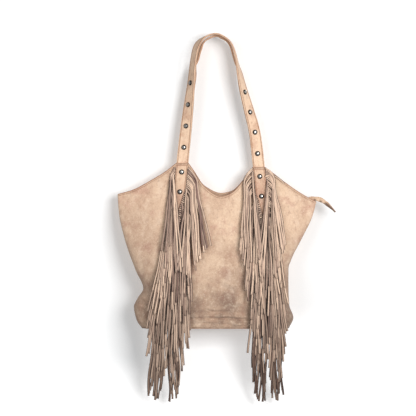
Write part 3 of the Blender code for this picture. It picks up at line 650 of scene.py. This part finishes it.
def sewSeams(name, seams, material, slot):
    # Stitches along each seam, a list of (place, normal) pairs close together
    rings = [[(x, r * math.cos(k * math.pi / 3), r * math.sin(k * math.pi / 3)) for k in range(6)]
             for x, r in thread["barrel"]]
    shape, shapeFaces = ringLoft(rings, flipped=True)
    verts, stitchFaces = [], []
    step = thread["length"] + thread["gap"]
    for seam in seams:
        points = np.array([tuple(p) for p, n in seam])
        normals = np.array([tuple(n) for p, n in seam])
        run = runOf(points)
        for k in range(int(run[-1] / step)):
            at = (k + 0.5) * step
            here, a, b = [pointAt(points, run, at + share * thread["length"]) for share in (0, -0.5, 0.5)]
            ahead = (b - a) / np.linalg.norm(b - a)
            normal = pointAt(normals, run, at)
            normal -= normal.dot(ahead) * ahead
            normal /= np.linalg.norm(normal)
            across = np.cross(normal, ahead)
            base = len(verts)
            for x, y, z in shape:
                verts.append(here + ahead * x * thread["length"] + across * y * thread["radius"]
                             + normal * (z + 0.2) * thread["radius"])
            stitchFaces += [tuple(base + i for i in f) for f in shapeFaces]
    meshPiece(name, verts, stitchFaces, material, slot)


def strapSeams(frames):
    return [[(m + across * w + normal * way * (handles["thick"] / 2 - thread["sink"]), normal * way)
             for m, travel, normal, across in frames if m.z > handles["sewnAbove"]]
            for way in (1, -1) for w in (-seamReach, seamReach)]


# Studs: heights from the top down, the first four on the handle and the others through the patch

stud = {
    "left": [-0.104, -0.153, -0.201, -0.249, -0.305, -0.350],
    "right": [-0.125, -0.170, -0.215, -0.263, -0.315, -0.360],
    "radius": 0.0058, "dome": 0.0041, "lip": 0.0010, "cap": 0.0038, "capThick": 0.0010, "shank": 0.0015,
    "sides": 36, "onHandle": 4, "legsPart": 0.00075, "behind": 0.0003, "ahead": 0.0001,
}


def frameAt(frames, side, z):
    for a, b in zip(frames, frames[1:]):
        if (a[0].x < stud["legsPart"]) == (side == "left") and (a[0].z - z) * (b[0].z - z) <= 0:
            t = (z - a[0].z) / (b[0].z - a[0].z)
            return [a[0].lerp(b[0], t)] + [p.lerp(q, t).normalized() for p, q in zip(a[1:], b[1:])]


def studProfile(back, front):
    # Back cap, shank, seat, flanged rim and domed crown as (radius, height, crown)
    r, dome, lip, cap, thick, shank = [stud[k] for k in ("radius", "dome", "lip", "cap", "capThick", "shank")]
    points = [(0.0, back - thick, 0), (cap * 0.8, back - thick, 0), (cap, back - thick * 0.6, 0), (cap, back, 0),
              (shank, back, 0), (shank, front - 0.0002, 0), (r * 0.97, front - 0.0002, 0),
              (r, front + 0.0002, 0), (r, front + lip * 0.6, 0), (r * 0.95, front + lip, 0),
              (r * 0.90, front + lip * 0.85, 0)]
    for k in range(1, 10):
        a = math.radians(90 * k / 9)
        height = front + lip * 0.85 + (dome - lip * 0.85) * math.sin(a)
        points.append((r * 0.88 * math.cos(a), height, math.sin(a)))
    return points


def studPiece(node, place, back, front, material):
    profile = studProfile(back, front)
    middle, travel, normal, across = place
    verts, crown, skin = [], [], []
    count = stud["sides"]
    for radius, height, share in profile:
        for k in range(1 if radius < 1e-7 else count):
            a = 2 * math.pi * k / count
            verts.append(middle + across * radius * math.cos(a) + travel * radius * math.sin(a) + normal * height)
            crown.append(share)
    last = len(verts) - 1
    for k in range(count):
        n = (k + 1) % count
        skin.append((0, 1 + n, 1 + k))
        for ring in range(len(profile) - 3):
            a = 1 + ring * count
            skin.append((a + k, a + n, a + count + n, a + count + k))
        skin.append((last - count + k, last - count + n, last))
    obj = meshPiece("nickel_" + node, verts, skin, material, "stud_metal", replaces=(node,), crown=crown)
    fixNormals(obj)
    obj.data.set_sharp_from_angle(angle=math.radians(50))


# Patches

patch = {"thick": 0.0015, "drop": 0.004, "end": {"left": -0.369, "right": -0.377}, "gap": 0.0003, "rows": 76,
         "shares": [-0.5, -0.48, -0.46] + [k / 20 for k in range(-9, 10)] + [0.46, 0.48, 0.5]}
fringeLine = {"left": [(-0.629, -0.110), (-0.390, -0.085), (-0.285, -0.0735)],
              "right": [(-0.629, 0.1215), (-0.431, 0.112), (-0.294, 0.099)]}


def lineX(side, z):
    return smoothValue(fringeLine[side], z)


def patchDepth(x, z):
    return skinDepth(x, z) + patch["gap"]


def patchPiece(name, side, face, material, node):
    # The strip sewn below a tab, soft edged, pressed down at its seams
    top = bag["tabZ"][side] - patch["drop"]
    rings, rim = [], []
    rows = patch["rows"]
    for i in range(rows + 1):
        z = top + (patch["end"][side] + fringe["closeTo"] - top) * i / rows
        width = min(2 * handles["half"], 2 * halfLine(side, z) + 0.003)
        ends = softStep(min(i, rows - i) / 2) * 0.4 + 0.6
        front, back = [], []
        for share in patch["shares"]:
            x = lineX(side, z) + share * width
            y = patchDepth(x, z)
            fromEdge = (0.5 - abs(share)) * width
            swell = softStep(fromEdge / 0.0012) * 0.5 + 0.5
            groove = bell(fromEdge - handles["seam"], handles["seamWide"])
            front.append(Vector((x, face * (y + patch["thick"] * swell * ends - 0.0003 * groove), z)))
            back.append(Vector((x, face * y, z)))
            rim.append(max(groove, 1.0 - softStep(fromEdge / 0.0008), 0.7 * (i < 2)))
        rings.append(front + back[::-1])
        rim += [1.0] * len(back)
    loftPiece(name, rings, material, "suede_strap", replaces=(node,), rim=rim)


def patchSeams(face):
    seams = []
    for side in sides:
        top = bag["tabZ"][side] - patch["drop"] - 0.002
        for way in (-1, 1):
            seam = []
            for i in range(40):
                z = top + (patch["end"][side] + fringe["closeFrom"] - top) * i / 39
                x = lineX(side, z) + way * seamReach
                y = patchDepth(x, z) + patch["thick"] - thread["sink"]
                seam.append((Vector((x, face * y, z)), Vector((0, face, 0))))
            seams.append(seam)
    return seams


# Bound top edge, its section as (distance below the edge, how proud, how dark)

binding = {
    "proud": 0.0007, "seam": 0.0034, "columns": 420, "ends": 0.0015,
    "outside": [(-0.0008, 0.35, 1.0), (-0.0004, 0.9, 1.0), (0.0006, 1.0, 0.85), (0.0014, 1.0, 0.2),
                (0.0028, 1.0, 0.0), (0.0033, 0.7, 0.45), (0.0038, 0.7, 0.45), (0.0042, 0.9, 0.05),
                (0.0046, 0.6, 0.15), (0.0048, 0.05, 0.6)],
    "inside": [(0.0046, -0.5, 0.2), (0.0023, -1.0, 0.1), (0.0, -1.0, 0.6), (-0.0004, -0.9, 0.9),
               (-0.0008, -0.3, 1.0)],
}


def bindingPiece(name, side, material):
    # The top edge folded over and sewn, following shoulders, tabs and dip; returns its seam
    xs = np.linspace(topX(0) + binding["ends"], topX(1) - binding["ends"], binding["columns"])
    line = [Vector((x, 0, panelTop(x, side))) for x in sorted({*xs.tolist(), *tabMarks})]
    rings, seam, rim = [], [], []
    for p, travel in zip(line, headings(line)):
        down = Vector((travel.z, 0, -travel.x))
        ring = []
        for key, inset in (("outside", 0.0), ("inside", bag["suede"])):
            for reach, lift, shade in binding[key]:
                q = p + down * reach
                y = skinDepth(q.x, min(q.z, panelTop(q.x, side)), inset) + lift * binding["proud"]
                ring.append(Vector((q.x, side * max(bag["least"], y), q.z)))
                rim.append(shade)
        rings.append(ring)
        q = p + down * binding["seam"]
        y = skinDepth(q.x, min(q.z, panelTop(q.x, side))) + binding["proud"] * 0.7
        seam.append((Vector((q.x, side * y, q.z)), Vector((0, side, 0))))
    loftPiece(name, rings, material, "suede_body", rim=rim)
    return seam


# Fringe

fringe = {
    "top": -0.297, "bottom": -0.628, "strips": 94, "width": 0.0046, "thick": 0.0010, "curl": 0.0013,
    "length": 0.188, "lanes": 6, "rise": 0.062, "header": 0.007, "stations": 34, "seat": 0.0011, "lift": 0.0016,
    "lineHalf": 0.0030, "closeFrom": 0.028, "closeTo": -0.022, "nested": 22, "nestSteps": 8, "pleat": 0.62,
    "strayLift": 0.0026, "between": 0.013, "headerRows": 60,
    "section": [(-1.0, 0.1), (-0.92, 0.7), (-0.55, 1.0), (0.0, 1.05), (0.55, 1.0), (0.92, 0.7), (1.0, 0.1),
                (0.5, 0.0), (-0.5, 0.0)],
}
# Combs; each one's dark value is painted shade added to the strips gathered in its lowest bundle
combs = {
    "fringe_left_outer": {"line": "left", "way": -1, "reach": (0.020, 0.028), "nest": 0.011, "slope": 0.9,
                          "flare": [(0.0, 0.06), (0.08, 0.14), (0.35, 0.21), (0.5, 0.25), (0.62, 0.17),
                                    (0.8, 0.03), (1.0, 0.0)],
                          "cross": 0.46, "bundle": (0.0250, 0.0130), "seed": 0.3, "dark": 0.18},
    "fringe_left_inner": {"line": "left", "way": 1, "reach": (0.028, 0.028), "nest": 0.021, "slope": 0.75,
                          "flare": [(0.0, 0.19), (0.11, 0.09), (0.22, 0.05), (0.4, 0.06), (0.6, 0.06),
                                    (1.0, 0.0)],
                          "cross": 0.10, "bundle": (0.0135, 0.0110), "seed": 1.7, "dark": 0.24},
    "fringe_right_inner": {"line": "right", "way": -1, "reach": (0.026, 0.030), "nest": 0.020, "slope": 0.75,
                           "flare": [(0.0, 0.05), (0.24, 0.12), (0.4, 0.08), (0.55, 0.03), (1.0, 0.02)],
                           "cross": 0.26, "bundle": (0.0195, 0.0145), "seed": 3.2, "dark": 0.80},
    "fringe_right_outer": {"line": "right", "way": 1, "reach": (0.023, 0.026), "nest": 0.020, "slope": 0.4,
                           "flare": [(0.0, 0.15), (0.33, 0.17), (0.54, 0.14), (0.8, 0.05), (1.0, 0.0)],
                           "cross": 0.30, "bundle": (0.0165, 0.0112), "seed": 4.4, "dark": 0.62,
                           "stray": [(0.1125, -0.3150), (0.120, -0.3112), (0.129, -0.3115), (0.139, -0.3160),
                                     (0.149, -0.3230), (0.1565, -0.3310)]},
}


def halfLine(side, z):
    # Half the space between the two combs: beside the patch, then closing to a V
    end = patch["end"][side]
    return smoothValue([(end + fringe["closeTo"], fringe["lineHalf"]),
                        (end + fringe["closeFrom"], handles["half"] + 0.0003)], z)


def combEdge(comb, z):
    return lineX(comb["line"], z) + comb["way"] * halfLine(comb["line"], z)


def fringeDepth(x, z):
    # What the fringe lies on: the body, and the patch where it covers it
    side = "left" if x < fringe["between"] else "right"
    within = handles["half"] + 0.0025 - abs(x - lineX(side, z))
    over = softStep(within / 0.0025) * softStep((z - patch["end"][side] - fringe["closeTo"]) / 0.004)
    below = skinDepth(x, max(z, bag["baseZ"] + 0.005), 0.0, 0.8)
    return below + fringe["seat"] + over * (patch["thick"] + patch["gap"])


def stripChoice(comb, k, lane, beside):
    # Where one strip bends, how it leans and how far it stands off
    share = k / (fringe["strips"] - 1)
    nested = max(0.0, 1 - k / fringe["nested"])
    least = 0.009 if beside else 0.001
    reach = comb["reach"][0] + (comb["reach"][1] - comb["reach"][0]) * share
    place = (lane + 0.5 + random.uniform(-0.16, 0.16)) / fringe["lanes"]
    step = math.ceil(nested * fringe["nestSteps"]) / fringe["nestSteps"]
    place += (step * random.uniform(0.9, 1.0) - place) * softStep(nested * 3)
    bend = least + (reach - least) * place
    bend += (comb["nest"] * (0.15 + 0.85 * step) - bend) * softStep(nested * 3)
    # A slow sideways drift is shared by neighbouring strips of one lane
    seed = comb["seed"] + lane * 2.7
    drift = 0.62 * math.sin(share * 9.5 + seed * 3.1) + 0.38 * math.sin(share * 23 + seed * 5.3)
    lean = place * smoothValue(comb["flare"], share) + 0.042 * drift
    lean += random.uniform(-0.012, 0.012)
    extra = random.choice((0.0, 0.0, 0.0008, 0.0016))
    if random.random() < 0.14:
        lean += random.choice((-1, 1)) * random.uniform(0.03, 0.075)
        extra += 0.0022
    tip = bend + fringe["length"] * lean
    if beside and k > 1 and random.random() < comb["cross"]:
        bend = random.uniform(0.0005, 0.004)
        tip = -random.uniform(0.004, 0.021)
        extra = 0.0034
    elif not beside and random.random() < 0.25:
        tip -= random.uniform(0.004, 0.016)
        extra += 0.0014
    gather = softStep((share - 0.66) / 0.2)
    middle, half = comb["bundle"]
    tip += (middle + half * (2 * place - 1) * 1.1 + random.uniform(-0.002, 0.002) - tip) * gather
    bend += (min(bend, middle * 0.8 + half * (place - 0.2)) - bend) * gather
    return max(0.0005, bend), tip, extra, nested, gather


def stripLine(comb, k, lane, root):
    # Points along the middle of one strip, spaced over its real length
    edge = combEdge(comb, root)
    bend, tip, extra, nested, gather = stripChoice(comb, k, lane, root > patch["end"][comb["line"]])
    slope = 0.12 + (comb["slope"] - 0.12) * nested
    turn = 0.003 + bend * 0.5
    length = fringe["length"] + random.uniform(-0.006, 0.004) + 0.011 * gather
    if random.random() < 0.1:
        length -= random.uniform(0.006, 0.022)
    wave = comb["seed"] + lane * 1.9 + k * 0.12
    waveSize = random.uniform(0.0006, 0.0015) * (1 + gather)
    track = []
    for i in range(13):
        a = math.radians(7.5 * i)
        track.append((bend * math.sin(a), turn * (1 - math.cos(a)) + slope * bend * math.sin(a)))
    start = track[-1][1]
    for i in range(1, 41):
        t = i / 40
        below = length * i / 40
        out = bend + (tip - bend) * t * (0.35 + 0.65 * softStep(t * 2.5))
        out += waveSize * math.sin(below * 48 + wave) * softStep(below / 0.05)
        track.append((out, start + below))
    points = []
    for out, drop in track:
        x = edge + comb["way"] * out
        z = root - drop
        lift = fringe["lift"] * softStep(drop / 0.006) + fringe["rise"] * max(0.0, drop - 0.004)
        points.append((x, -(fringeDepth(x, z) + lift + extra * softStep(drop / 0.016)), z))
    points = np.array(points)
    run = runOf(points)
    shares = np.linspace(0, 1, fringe["stations"]) ** 1.25
    return [Vector(pointAt(points, run, share * length)) for share in shares], shares, gather


def combPiece(name, comb, material):
    # A header sewn along the line, its strips pleated at the root and hanging in lanes
    way = comb["way"]
    verts, skin, lanes = [], [], []
    marks = {"strand": [], "across": [], "along": [], "deep": []}

    def addRings(rings, values, flipped):
        more, moreFaces = ringLoft(rings, base=len(verts), flipped=flipped)
        verts.extend(more)
        skin.extend(moreFaces)
        for key, value in zip(marks, zip(*values)):
            marks[key] += value

    def addStrip(points, shares, half, tone, covered, rollAt):
        rings, values = [], []
        for p, travel, t in zip(points, headings(points), shares):
            roll = rollAt(t)
            flat = Vector((0, -1, 0))
            flat = (flat - flat.dot(travel) * travel).normalized()
            out = flat * math.cos(roll) + travel.cross(flat) * math.sin(roll)
            side = travel.cross(out)
            # Painted shade on strips lying under others, from just below the root to about half way down
            shade = 0.50 * covered * softStep((t - 0.06) / 0.06) * softStep((0.50 - t) / 0.30)
            rings.append([p + side * w * half + out * (h * fringe["thick"] + fringe["curl"] * (1 - w * w))
                          for w, h in fringe["section"]])
            values += [(tone, abs(w), t, shade) for w, h in fringe["section"]]
        addRings(rings, values, True)

    for k in range(fringe["strips"]):
        if not lanes:
            lanes = list(range(fringe["lanes"]))
            random.shuffle(lanes)
        lane = lanes.pop()
        # The last roots lie closer together, so the lowest bundle ends full
        share = k / (fringe["strips"] - 1)
        root = fringe["top"] - (fringe["top"] - fringe["bottom"]) * (share + 0.68 * (share ** 2 - share ** 3))
        points, shares, gather = stripLine(comb, k, lane, root)
        # Each strip's own tone, with painted shade added to strips gathered in the lowest bundle; some darker at
        # random
        tone = random.random() ** 1.5 * 0.8 + comb["dark"] * gather + (0.35 if random.random() < 0.2 else 0.0)
        turn = random.uniform(-0.45, 0.45) * (1 + gather)
        phase = random.uniform(0, 6.28)
        half = fringe["width"] / 2 * random.uniform(0.84, 1.1)
        addStrip(points, shares, half, tone, softStep((k - 7) / 14),
                 lambda t: turn * math.sin(t * 4.5 + phase) * softStep((t - 0.08) * 5)
                 - fringe["pleat"] * way * (1 - softStep(t / 0.14)))
    if "stray" in comb:
        points = [Vector((x, -(wallDepth(x, min(z, topEdge(x))) + fringe["strayLift"]), z))
                  for x, z in smoothPath(comb["stray"], fringe["stations"])]
        addStrip(points, [0.3] * len(points), fringe["width"] * 0.42, 0.05, 0.0, lambda t: 0.5)
    header = []
    for i in range(fringe["headerRows"] + 1):
        tall = fringe["top"] - fringe["bottom"] + 0.006
        z = fringe["top"] + 0.003 - tall * i / fringe["headerRows"]
        edge = combEdge(comb, z)
        wide = fringe["header"]
        while wide > 0.0006 and topEdge(edge + way * wide) < z + 0.004:
            wide -= 0.0004
        corners = ((0, 0), (0, fringe["thick"]), (wide, fringe["thick"]), (wide, 0))
        header.append([Vector((edge + way * reach, -(fringeDepth(edge + way * reach, z) - 0.0004 + lift), z))
                       for reach, lift in corners])
    # The header under the strips gets a little painted shade
    addRings(header, [(0.6, 0.5, 0.0, 0.25)] * 4 * len(header), False)
    fixNormals(meshPiece(name + "_cloth", verts, skin, material, "suede_fringe", replaces=(name,), **marks))


# Zip

zipper = {"z": -0.385, "left": -0.198, "right": 0.200, "gap": 0.0016, "teethWide": 0.0022, "teethHigh": 0.0024,
          "tape": 0.0008, "pitch": 0.0030, "tooth": 0.0019, "sliderLong": 0.010, "sliderWide": 0.008,
          "play": 0.0003, "plate": 0.0014, "slotEnd": 0.0068, "slotHalf": 0.0016, "pullSoft": 0.0003,
          "bevel": 0.0004, "webHalf": 0.0005,
          "tapeSection": [(0, 0.4), (0.06, 1.5), (0.16, 1.5), (0.24, 1.0), (0.5, 1.0), (0.75, 1.0), (1, 0.8),
                          (1, -0.8), (0.5, -1.0), (0.2, -1.0), (0.1, -1.4), (0, -0.4)]}
tail = {"wide": 0.010, "thick": 0.0026, "stations": 120,
        "path": [(0.190, -0.385, 0.0), (0.199, -0.3815, 10.0), (0.207, -0.374, 55.0), (0.216, -0.3655, 88.0),
                 (0.228, -0.3650, 90.0), (0.240, -0.3680, 85.0), (0.252, -0.3760, 60.0), (0.262, -0.3850, 35.0),
                 (0.272, -0.3950, 60.0)]}


def tapePiece(name, side, material, node):
    # Woven tape from the teeth out to the lining, with a corded inner edge
    rings = []
    inner = zipper["gap"] / 2 + zipper["teethWide"] * 0.55
    for x in np.linspace(zipper["left"], zipper["right"], 151):
        outer = max(inner + 0.0004, wallDepth(x, zipper["z"]) - 0.0034)
        ring = []
        for share, lift in zipper["tapeSection"]:
            wave = 0.0004 * math.sin(x * 90 + side) * math.sin(share * math.pi)
            z = zipper["z"] + zipper["tape"] / 2 * lift + wave
            ring.append(Vector((x, side * (inner + (outer - inner) * share), z)))
        rings.append(ring)
    loftPiece(name, rings, material, "zip_tape", replaces=(node,))


def blockPiece(name, parts, material, body, node):
    # Several boxes given by their lower and upper corners, bevelled as one piece
    verts, quads = [], []
    for low, high in parts:
        base = len(verts)
        verts += [(x, y, z) for z in (low[2], high[2]) for y in (low[1], high[1]) for x in (low[0], high[0])]
        quads += [tuple(base + i for i in f) for f in ((0, 2, 3, 1), (4, 5, 7, 6), (0, 1, 5, 4), (2, 6, 7, 3),
                                                       (0, 4, 6, 2), (1, 3, 7, 5))]
    obj = meshPiece(name, verts, quads, material, "zip_metal", body, replaces=(node,), smooth=False)
    applied(obj, "BEVEL", width=zipper["bevel"], segments=3, limit_method="NONE")
    obj.data.shade_smooth()
    obj.data.set_sharp_from_angle(angle=math.radians(40))


def teethPiece(name, side, material, node):
    # Cast teeth, each clamped on the tape's cord with a nose towards the other row
    parts = []
    long, high, near = zipper["tooth"] / 2, zipper["teethHigh"] / 2, zipper["gap"] / 2
    low, up = sorted((side * near, side * (near + zipper["teethWide"])))
    x = zipper["left"] + 0.002 + (zipper["pitch"] / 2 if side > 0 else 0)
    while x < zipper["right"] - 0.003:
        parts.append(((x - long, low, zipper["z"] - high), (x + long, up, zipper["z"] + high)))
        x += zipper["pitch"]
    blockPiece(name, parts, material, "bag", node)


def sliderPiece(material):
    # Two plates joined by a web, with a bridge over the top for the pull
    low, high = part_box("zip_slider")
    middle = (low[0] + high[0]) / 2
    half, wide, web = zipper["sliderLong"] / 2, zipper["sliderWide"] / 2, zipper["webHalf"]
    left, right = middle - half, middle + half
    top = zipper["z"] + zipper["teethHigh"] / 2 + zipper["play"]
    under = zipper["z"] - zipper["teethHigh"] / 2 - zipper["play"]
    plate = zipper["plate"]
    parts = [((left, -wide, top), (right, wide, top + plate)),
             ((left, -wide, under - plate), (right, wide, under)),
             ((left, -web, under - 0.0002), (middle - half * 0.4, web, top + 0.0002))]
    blockPiece("slider_body", parts, material, "zip_slider", "zip_slider")
    rings = []
    for a in (math.pi * k / 12 for k in range(13)):
        out = Vector((-math.cos(a), 0, math.sin(a)))
        z = top + plate + (high[2] - top - plate - 0.0006) * math.sin(a)
        rings.append([Vector((middle - 0.0026 * math.cos(a), 0.0012 * math.sin(b), z)) + out * 0.0005 * math.cos(b)
                      for b in (2 * math.pi * j / 12 for j in range(12))])
    loftPiece("slider_bridge", rings, material, "zip_metal", "zip_slider")


def reachOf(outline, centre, way):
    # Distance from a point inside a convex outline to its edge, in one direction
    best = 1.0
    for (ax, ay), (bx, by) in zip(outline, outline[1:] + outline[:1]):
        ex, ey = bx - ax, by - ay
        cross = way.x * ey - way.y * ex
        if abs(cross) > 1e-12:
            reach = ((ax - centre[0]) * ey - (ay - centre[1]) * ex) / cross
            share = ((ax - centre[0]) * way.y - (ay - centre[1]) * way.x) / cross
            if reach > 0 and -1e-6 <= share <= 1 + 1e-6:
                best = min(best, reach)
    return best


def pullPiece(material):
    # The pull's plate around its slot, with rounded edges and end
    low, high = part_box("zip_pull")
    rod = high[2] - low[2]
    middleZ = (low[2] + high[2]) / 2
    slotLow, slotHigh, slotHalf = low[0] + rod, low[0] + rod / 2 + zipper["slotEnd"], zipper["slotHalf"]
    centre = ((slotLow + slotHigh) / 2, (low[1] + high[1]) / 2)
    wide = (high[1] - low[1]) / 2
    outline = [(low[0], -wide), (high[0] - wide, -wide)]
    outline += [(high[0] - wide + wide * math.cos(a), wide * math.sin(a))
                for a in (math.radians(d) for d in range(-80, 90, 10))]
    outline += [(high[0] - wide, wide), (low[0], wide)]
    slot = [(slotLow, -slotHalf), (slotHigh, -slotHalf), (slotHigh, slotHalf), (slotLow, slotHalf)]
    soft = zipper["pullSoft"]
    rings = []
    for bearing in sorted(math.atan2(y - centre[1], x - centre[0]) for x, y in outline + slot):
        way = Vector((math.cos(bearing), math.sin(bearing)))
        near, far = reachOf(slot, centre, way), reachOf(outline, centre, way)
        upper = ((near, 0.55), (near + soft, 1.0), (far - soft, 1.0), (far, 0.55))
        lower = tuple((reach, -lift) for reach, lift in reversed(upper))
        rings.append([Vector((centre[0] + way.x * reach, centre[1] + way.y * reach, middleZ + lift * rod / 2))
                      for reach, lift in upper + lower])
    verts, skin = ringLoft(rings + rings[:1], capped=False)
    obj = meshPiece("pull_plate", verts, skin, material, "zip_metal", "zip_pull", replaces=("zip_pull",),
                    smooth=False, crown=[0.8] * len(verts))
    fixNormals(obj, merge=0.00001)


def tailPiece(material):
    # The wrapped end of the zip: folded suede, twisted, its edges rolled under
    line = smoothPath(tail["path"], tail["stations"])
    places = [Vector((x, 0, z)) for x, z, lean in line]
    rings, rim = [], []
    for i, (place, travel) in enumerate(zip(places, headings(places))):
        t = i / (len(line) - 1)
        a = math.radians(line[i][2])
        across = (Vector((0, 1, 0)) * math.cos(a) + Vector((-travel.z, 0, travel.x)) * math.sin(a)).normalized()
        normal = travel.cross(across)
        wide = tail["wide"] / 2 * (1 - 0.72 * softStep((t - 0.84) / 0.16) + 0.10 * math.sin(t * 26))
        thick = tail["thick"] / 2 * (1 + 0.12 * math.sin(t * 41))
        # Painted shade in the two tucks
        tuckShade = bell(t - 0.43, 0.03) + bell(t - 0.58, 0.035)
        ring = []
        for b in (2 * math.pi * j / 20 for j in range(20)):
            w = math.copysign(abs(math.cos(b)) ** 0.55, math.cos(b))
            h = math.copysign(abs(math.sin(b)) ** 0.7, math.sin(b))
            crease = 0.0005 * math.sin(w * 7 + t * 38) - 0.0011 * bell(w - 0.15, 0.14)
            ring.append(place + across * w * wide + normal * h * (thick + crease * abs(math.sin(b))))
            # Painted shade on the lower face past the fold and in the two tucks; the rolled edges darker as well
            underShade = softStep((t - 0.64) / 0.08) * softStep((0.35 - w) / 0.25)
            rim.append(min(1.0, underShade + tuckShade * softStep((0.1 - w) / 0.5) + 0.5 * softStep((abs(w) - 0.8) / 0.2)))
        rings.append(ring)
    loftPiece("tail_wrap", rings, material, "suede_strap", replaces=("zip_tail",), rim=rim)


# Wall, floor and lamps

def addStage():
    # A painted wall that glows a little and is clear from behind
    wall = Sheet("wallPaint", Roughness=0.9, Base_Color=(0.92, 0.92, 0.92, 1), Specular_IOR_Level=0.0)
    nodes, links = wall.tree.nodes, wall.tree.links
    # Painted light: the glow is stronger low down and in a patch left of the body, lifting the cast shadows there
    drop = wall.axis("Z") * -1
    middle = wall.between(drop, 0.60, 0.68) * wall.between(wall.axis("X"), -0.19, -0.12)
    lower = (middle + wall.between(drop, 0.72, 0.85)).clamped()
    glow, both, clear, turn, pick = [nodes.new("ShaderNode" + kind) for kind in
                                     ("Emission", "AddShader", "BsdfTransparent", "NewGeometry", "MixShader")]
    links.new(wall.mix(view["glow"], view["shadowLiftGlow"], lower).socket, glow.inputs["Color"])
    for source, into in ((wall.shader.outputs[0], both.inputs[0]), (glow.outputs[0], both.inputs[1]),
                         (turn.outputs["Backfacing"], pick.inputs[0]), (both.outputs[0], pick.inputs[1]),
                         (clear.outputs[0], pick.inputs[2]),
                         (pick.outputs[0], nodes["Material Output"].inputs["Surface"])):
        links.new(source, into)
    half = view["wallSize"] / 2
    levels = [view["wallTop"], 0.2] + [-0.02 * k for k in range(62)] + [view["floorZ"]]
    line = [(smoothValue(view["wall"], z), z) for z in levels] + [(-half, view["floorZ"])]
    mesh = bpy.data.meshes.new("wall")
    mesh.from_pydata([(x, y, z) for x in (-half, half) for y, z in line], [], gridFaces(len(line), 2))
    for face in mesh.polygons:
        face.use_smooth = face.index < len(mesh.polygons) - 1
    mesh.materials.append(wall.material)
    obj = bpy.data.objects.new("wall", mesh)
    bpy.context.scene.collection.objects.link(obj)
    obj.visible_shadow = False
    obj.visible_diffuse = False
    obj.visible_glossy = False


def addLight():
    world = bpy.data.worlds.new("studio")
    world.use_nodes = True
    background = world.node_tree.nodes["Background"]
    background.inputs["Color"].default_value = (1, 1, 1, 1)
    background.inputs["Strength"].default_value = view["world"]
    bpy.context.scene.world = world
    for name, (place, power) in lamps.items():
        data = bpy.data.lights.new(name, "AREA")
        data.size = view["lampSize"]
        data.energy = power
        lamp = bpy.data.objects.new(name, data)
        lamp.visible_glossy = name != "fill"
        lamp.location = place
        lamp.rotation_euler = (Vector(view["aim"]) - Vector(place)).to_track_quat("-Z", "Y").to_euler()
        bpy.context.scene.collection.objects.link(lamp)
    bpy.context.scene.view_settings.view_transform = "Standard"


print("camera and stage")
addCamera()
addStage()
addLight()

print("body")
bodySuede = suede("body")
strapSuede = suede("strap", 3.0)
patchSuede = suede("patch", 5.0)
tailSuede = suede("tail", 8.0)
stitch = threadMaterial()
for faceName, face in faces.items():
    bodyPanel("body_" + faceName, face, bodySuede, faceName + "_panel")

print("top edge")
edgeSeams = [bindingPiece("top_binding_" + faceName, face, bodySuede) for faceName, face in faces.items()]
sewSeams("top_stitches", edgeSeams, stitch, "suede_body")

print("handles, patches and studs")
studMetal = agedMetal("studNickel", (0.035, 0.03, 0.028, 1), (0.62, 0.60, 0.57, 1), (0.45, 0.9))
for faceName, face in faces.items():
    frames = strapFrames(faceName, face)
    strapPiece("strap_" + faceName, frames, strapSuede, "handle_" + faceName)
    sewSeams("strap_stitches_" + faceName, strapSeams(frames), stitch, "suede_strap")
    for side in sides:
        patchPiece(f"patch_cloth_{faceName}_{side}", side, face, patchSuede, f"patch_{faceName}_{side}")
        for index, z in enumerate(stud[side]):
            place = frameAt(frames, side, z)
            back = -handles["thick"] / 2 - stud["behind"]
            front = handles["thick"] / 2 + stud["ahead"]
            if index >= stud["onHandle"]:
                cover = patchDepth(place[0].x, z) + patch["thick"]
                front = (cover - abs(place[0].y)) / abs(place[2].y)
            studPiece(f"stud_{faceName}_{side}_{index + 1}", place, back, front, studMetal)
    sewSeams("patch_stitches_" + faceName, patchSeams(face), stitch, "suede_strap")

print("fringe")
cutSuede = fringeSuede()
for name, comb in combs.items():
    combPiece(name, comb, cutSuede)

print("zip")
tapeCloth = clothMaterial("zipTape", (150, 120, 96), (116, 90, 70), 1400)
zipMetal = agedMetal("zipBrass", (0.16, 0.13, 0.09, 1), (0.5, 0.44, 0.34, 1), (0.3, 0.9))
for faceName, face in faces.items():
    tapePiece("tape_" + faceName, face, tapeCloth, "zip_tape_" + faceName)
    teethPiece("teeth_" + faceName, face, zipMetal, "zip_teeth_" + faceName)
sliderPiece(zipMetal)
pullPiece(zipMetal)
tailPiece(tailSuede)

print("base and lining")
basePiece(suede("base"), stitch)
liningPiece(clothMaterial("liningCotton", (196, 172, 146), (168, 142, 116), 900))
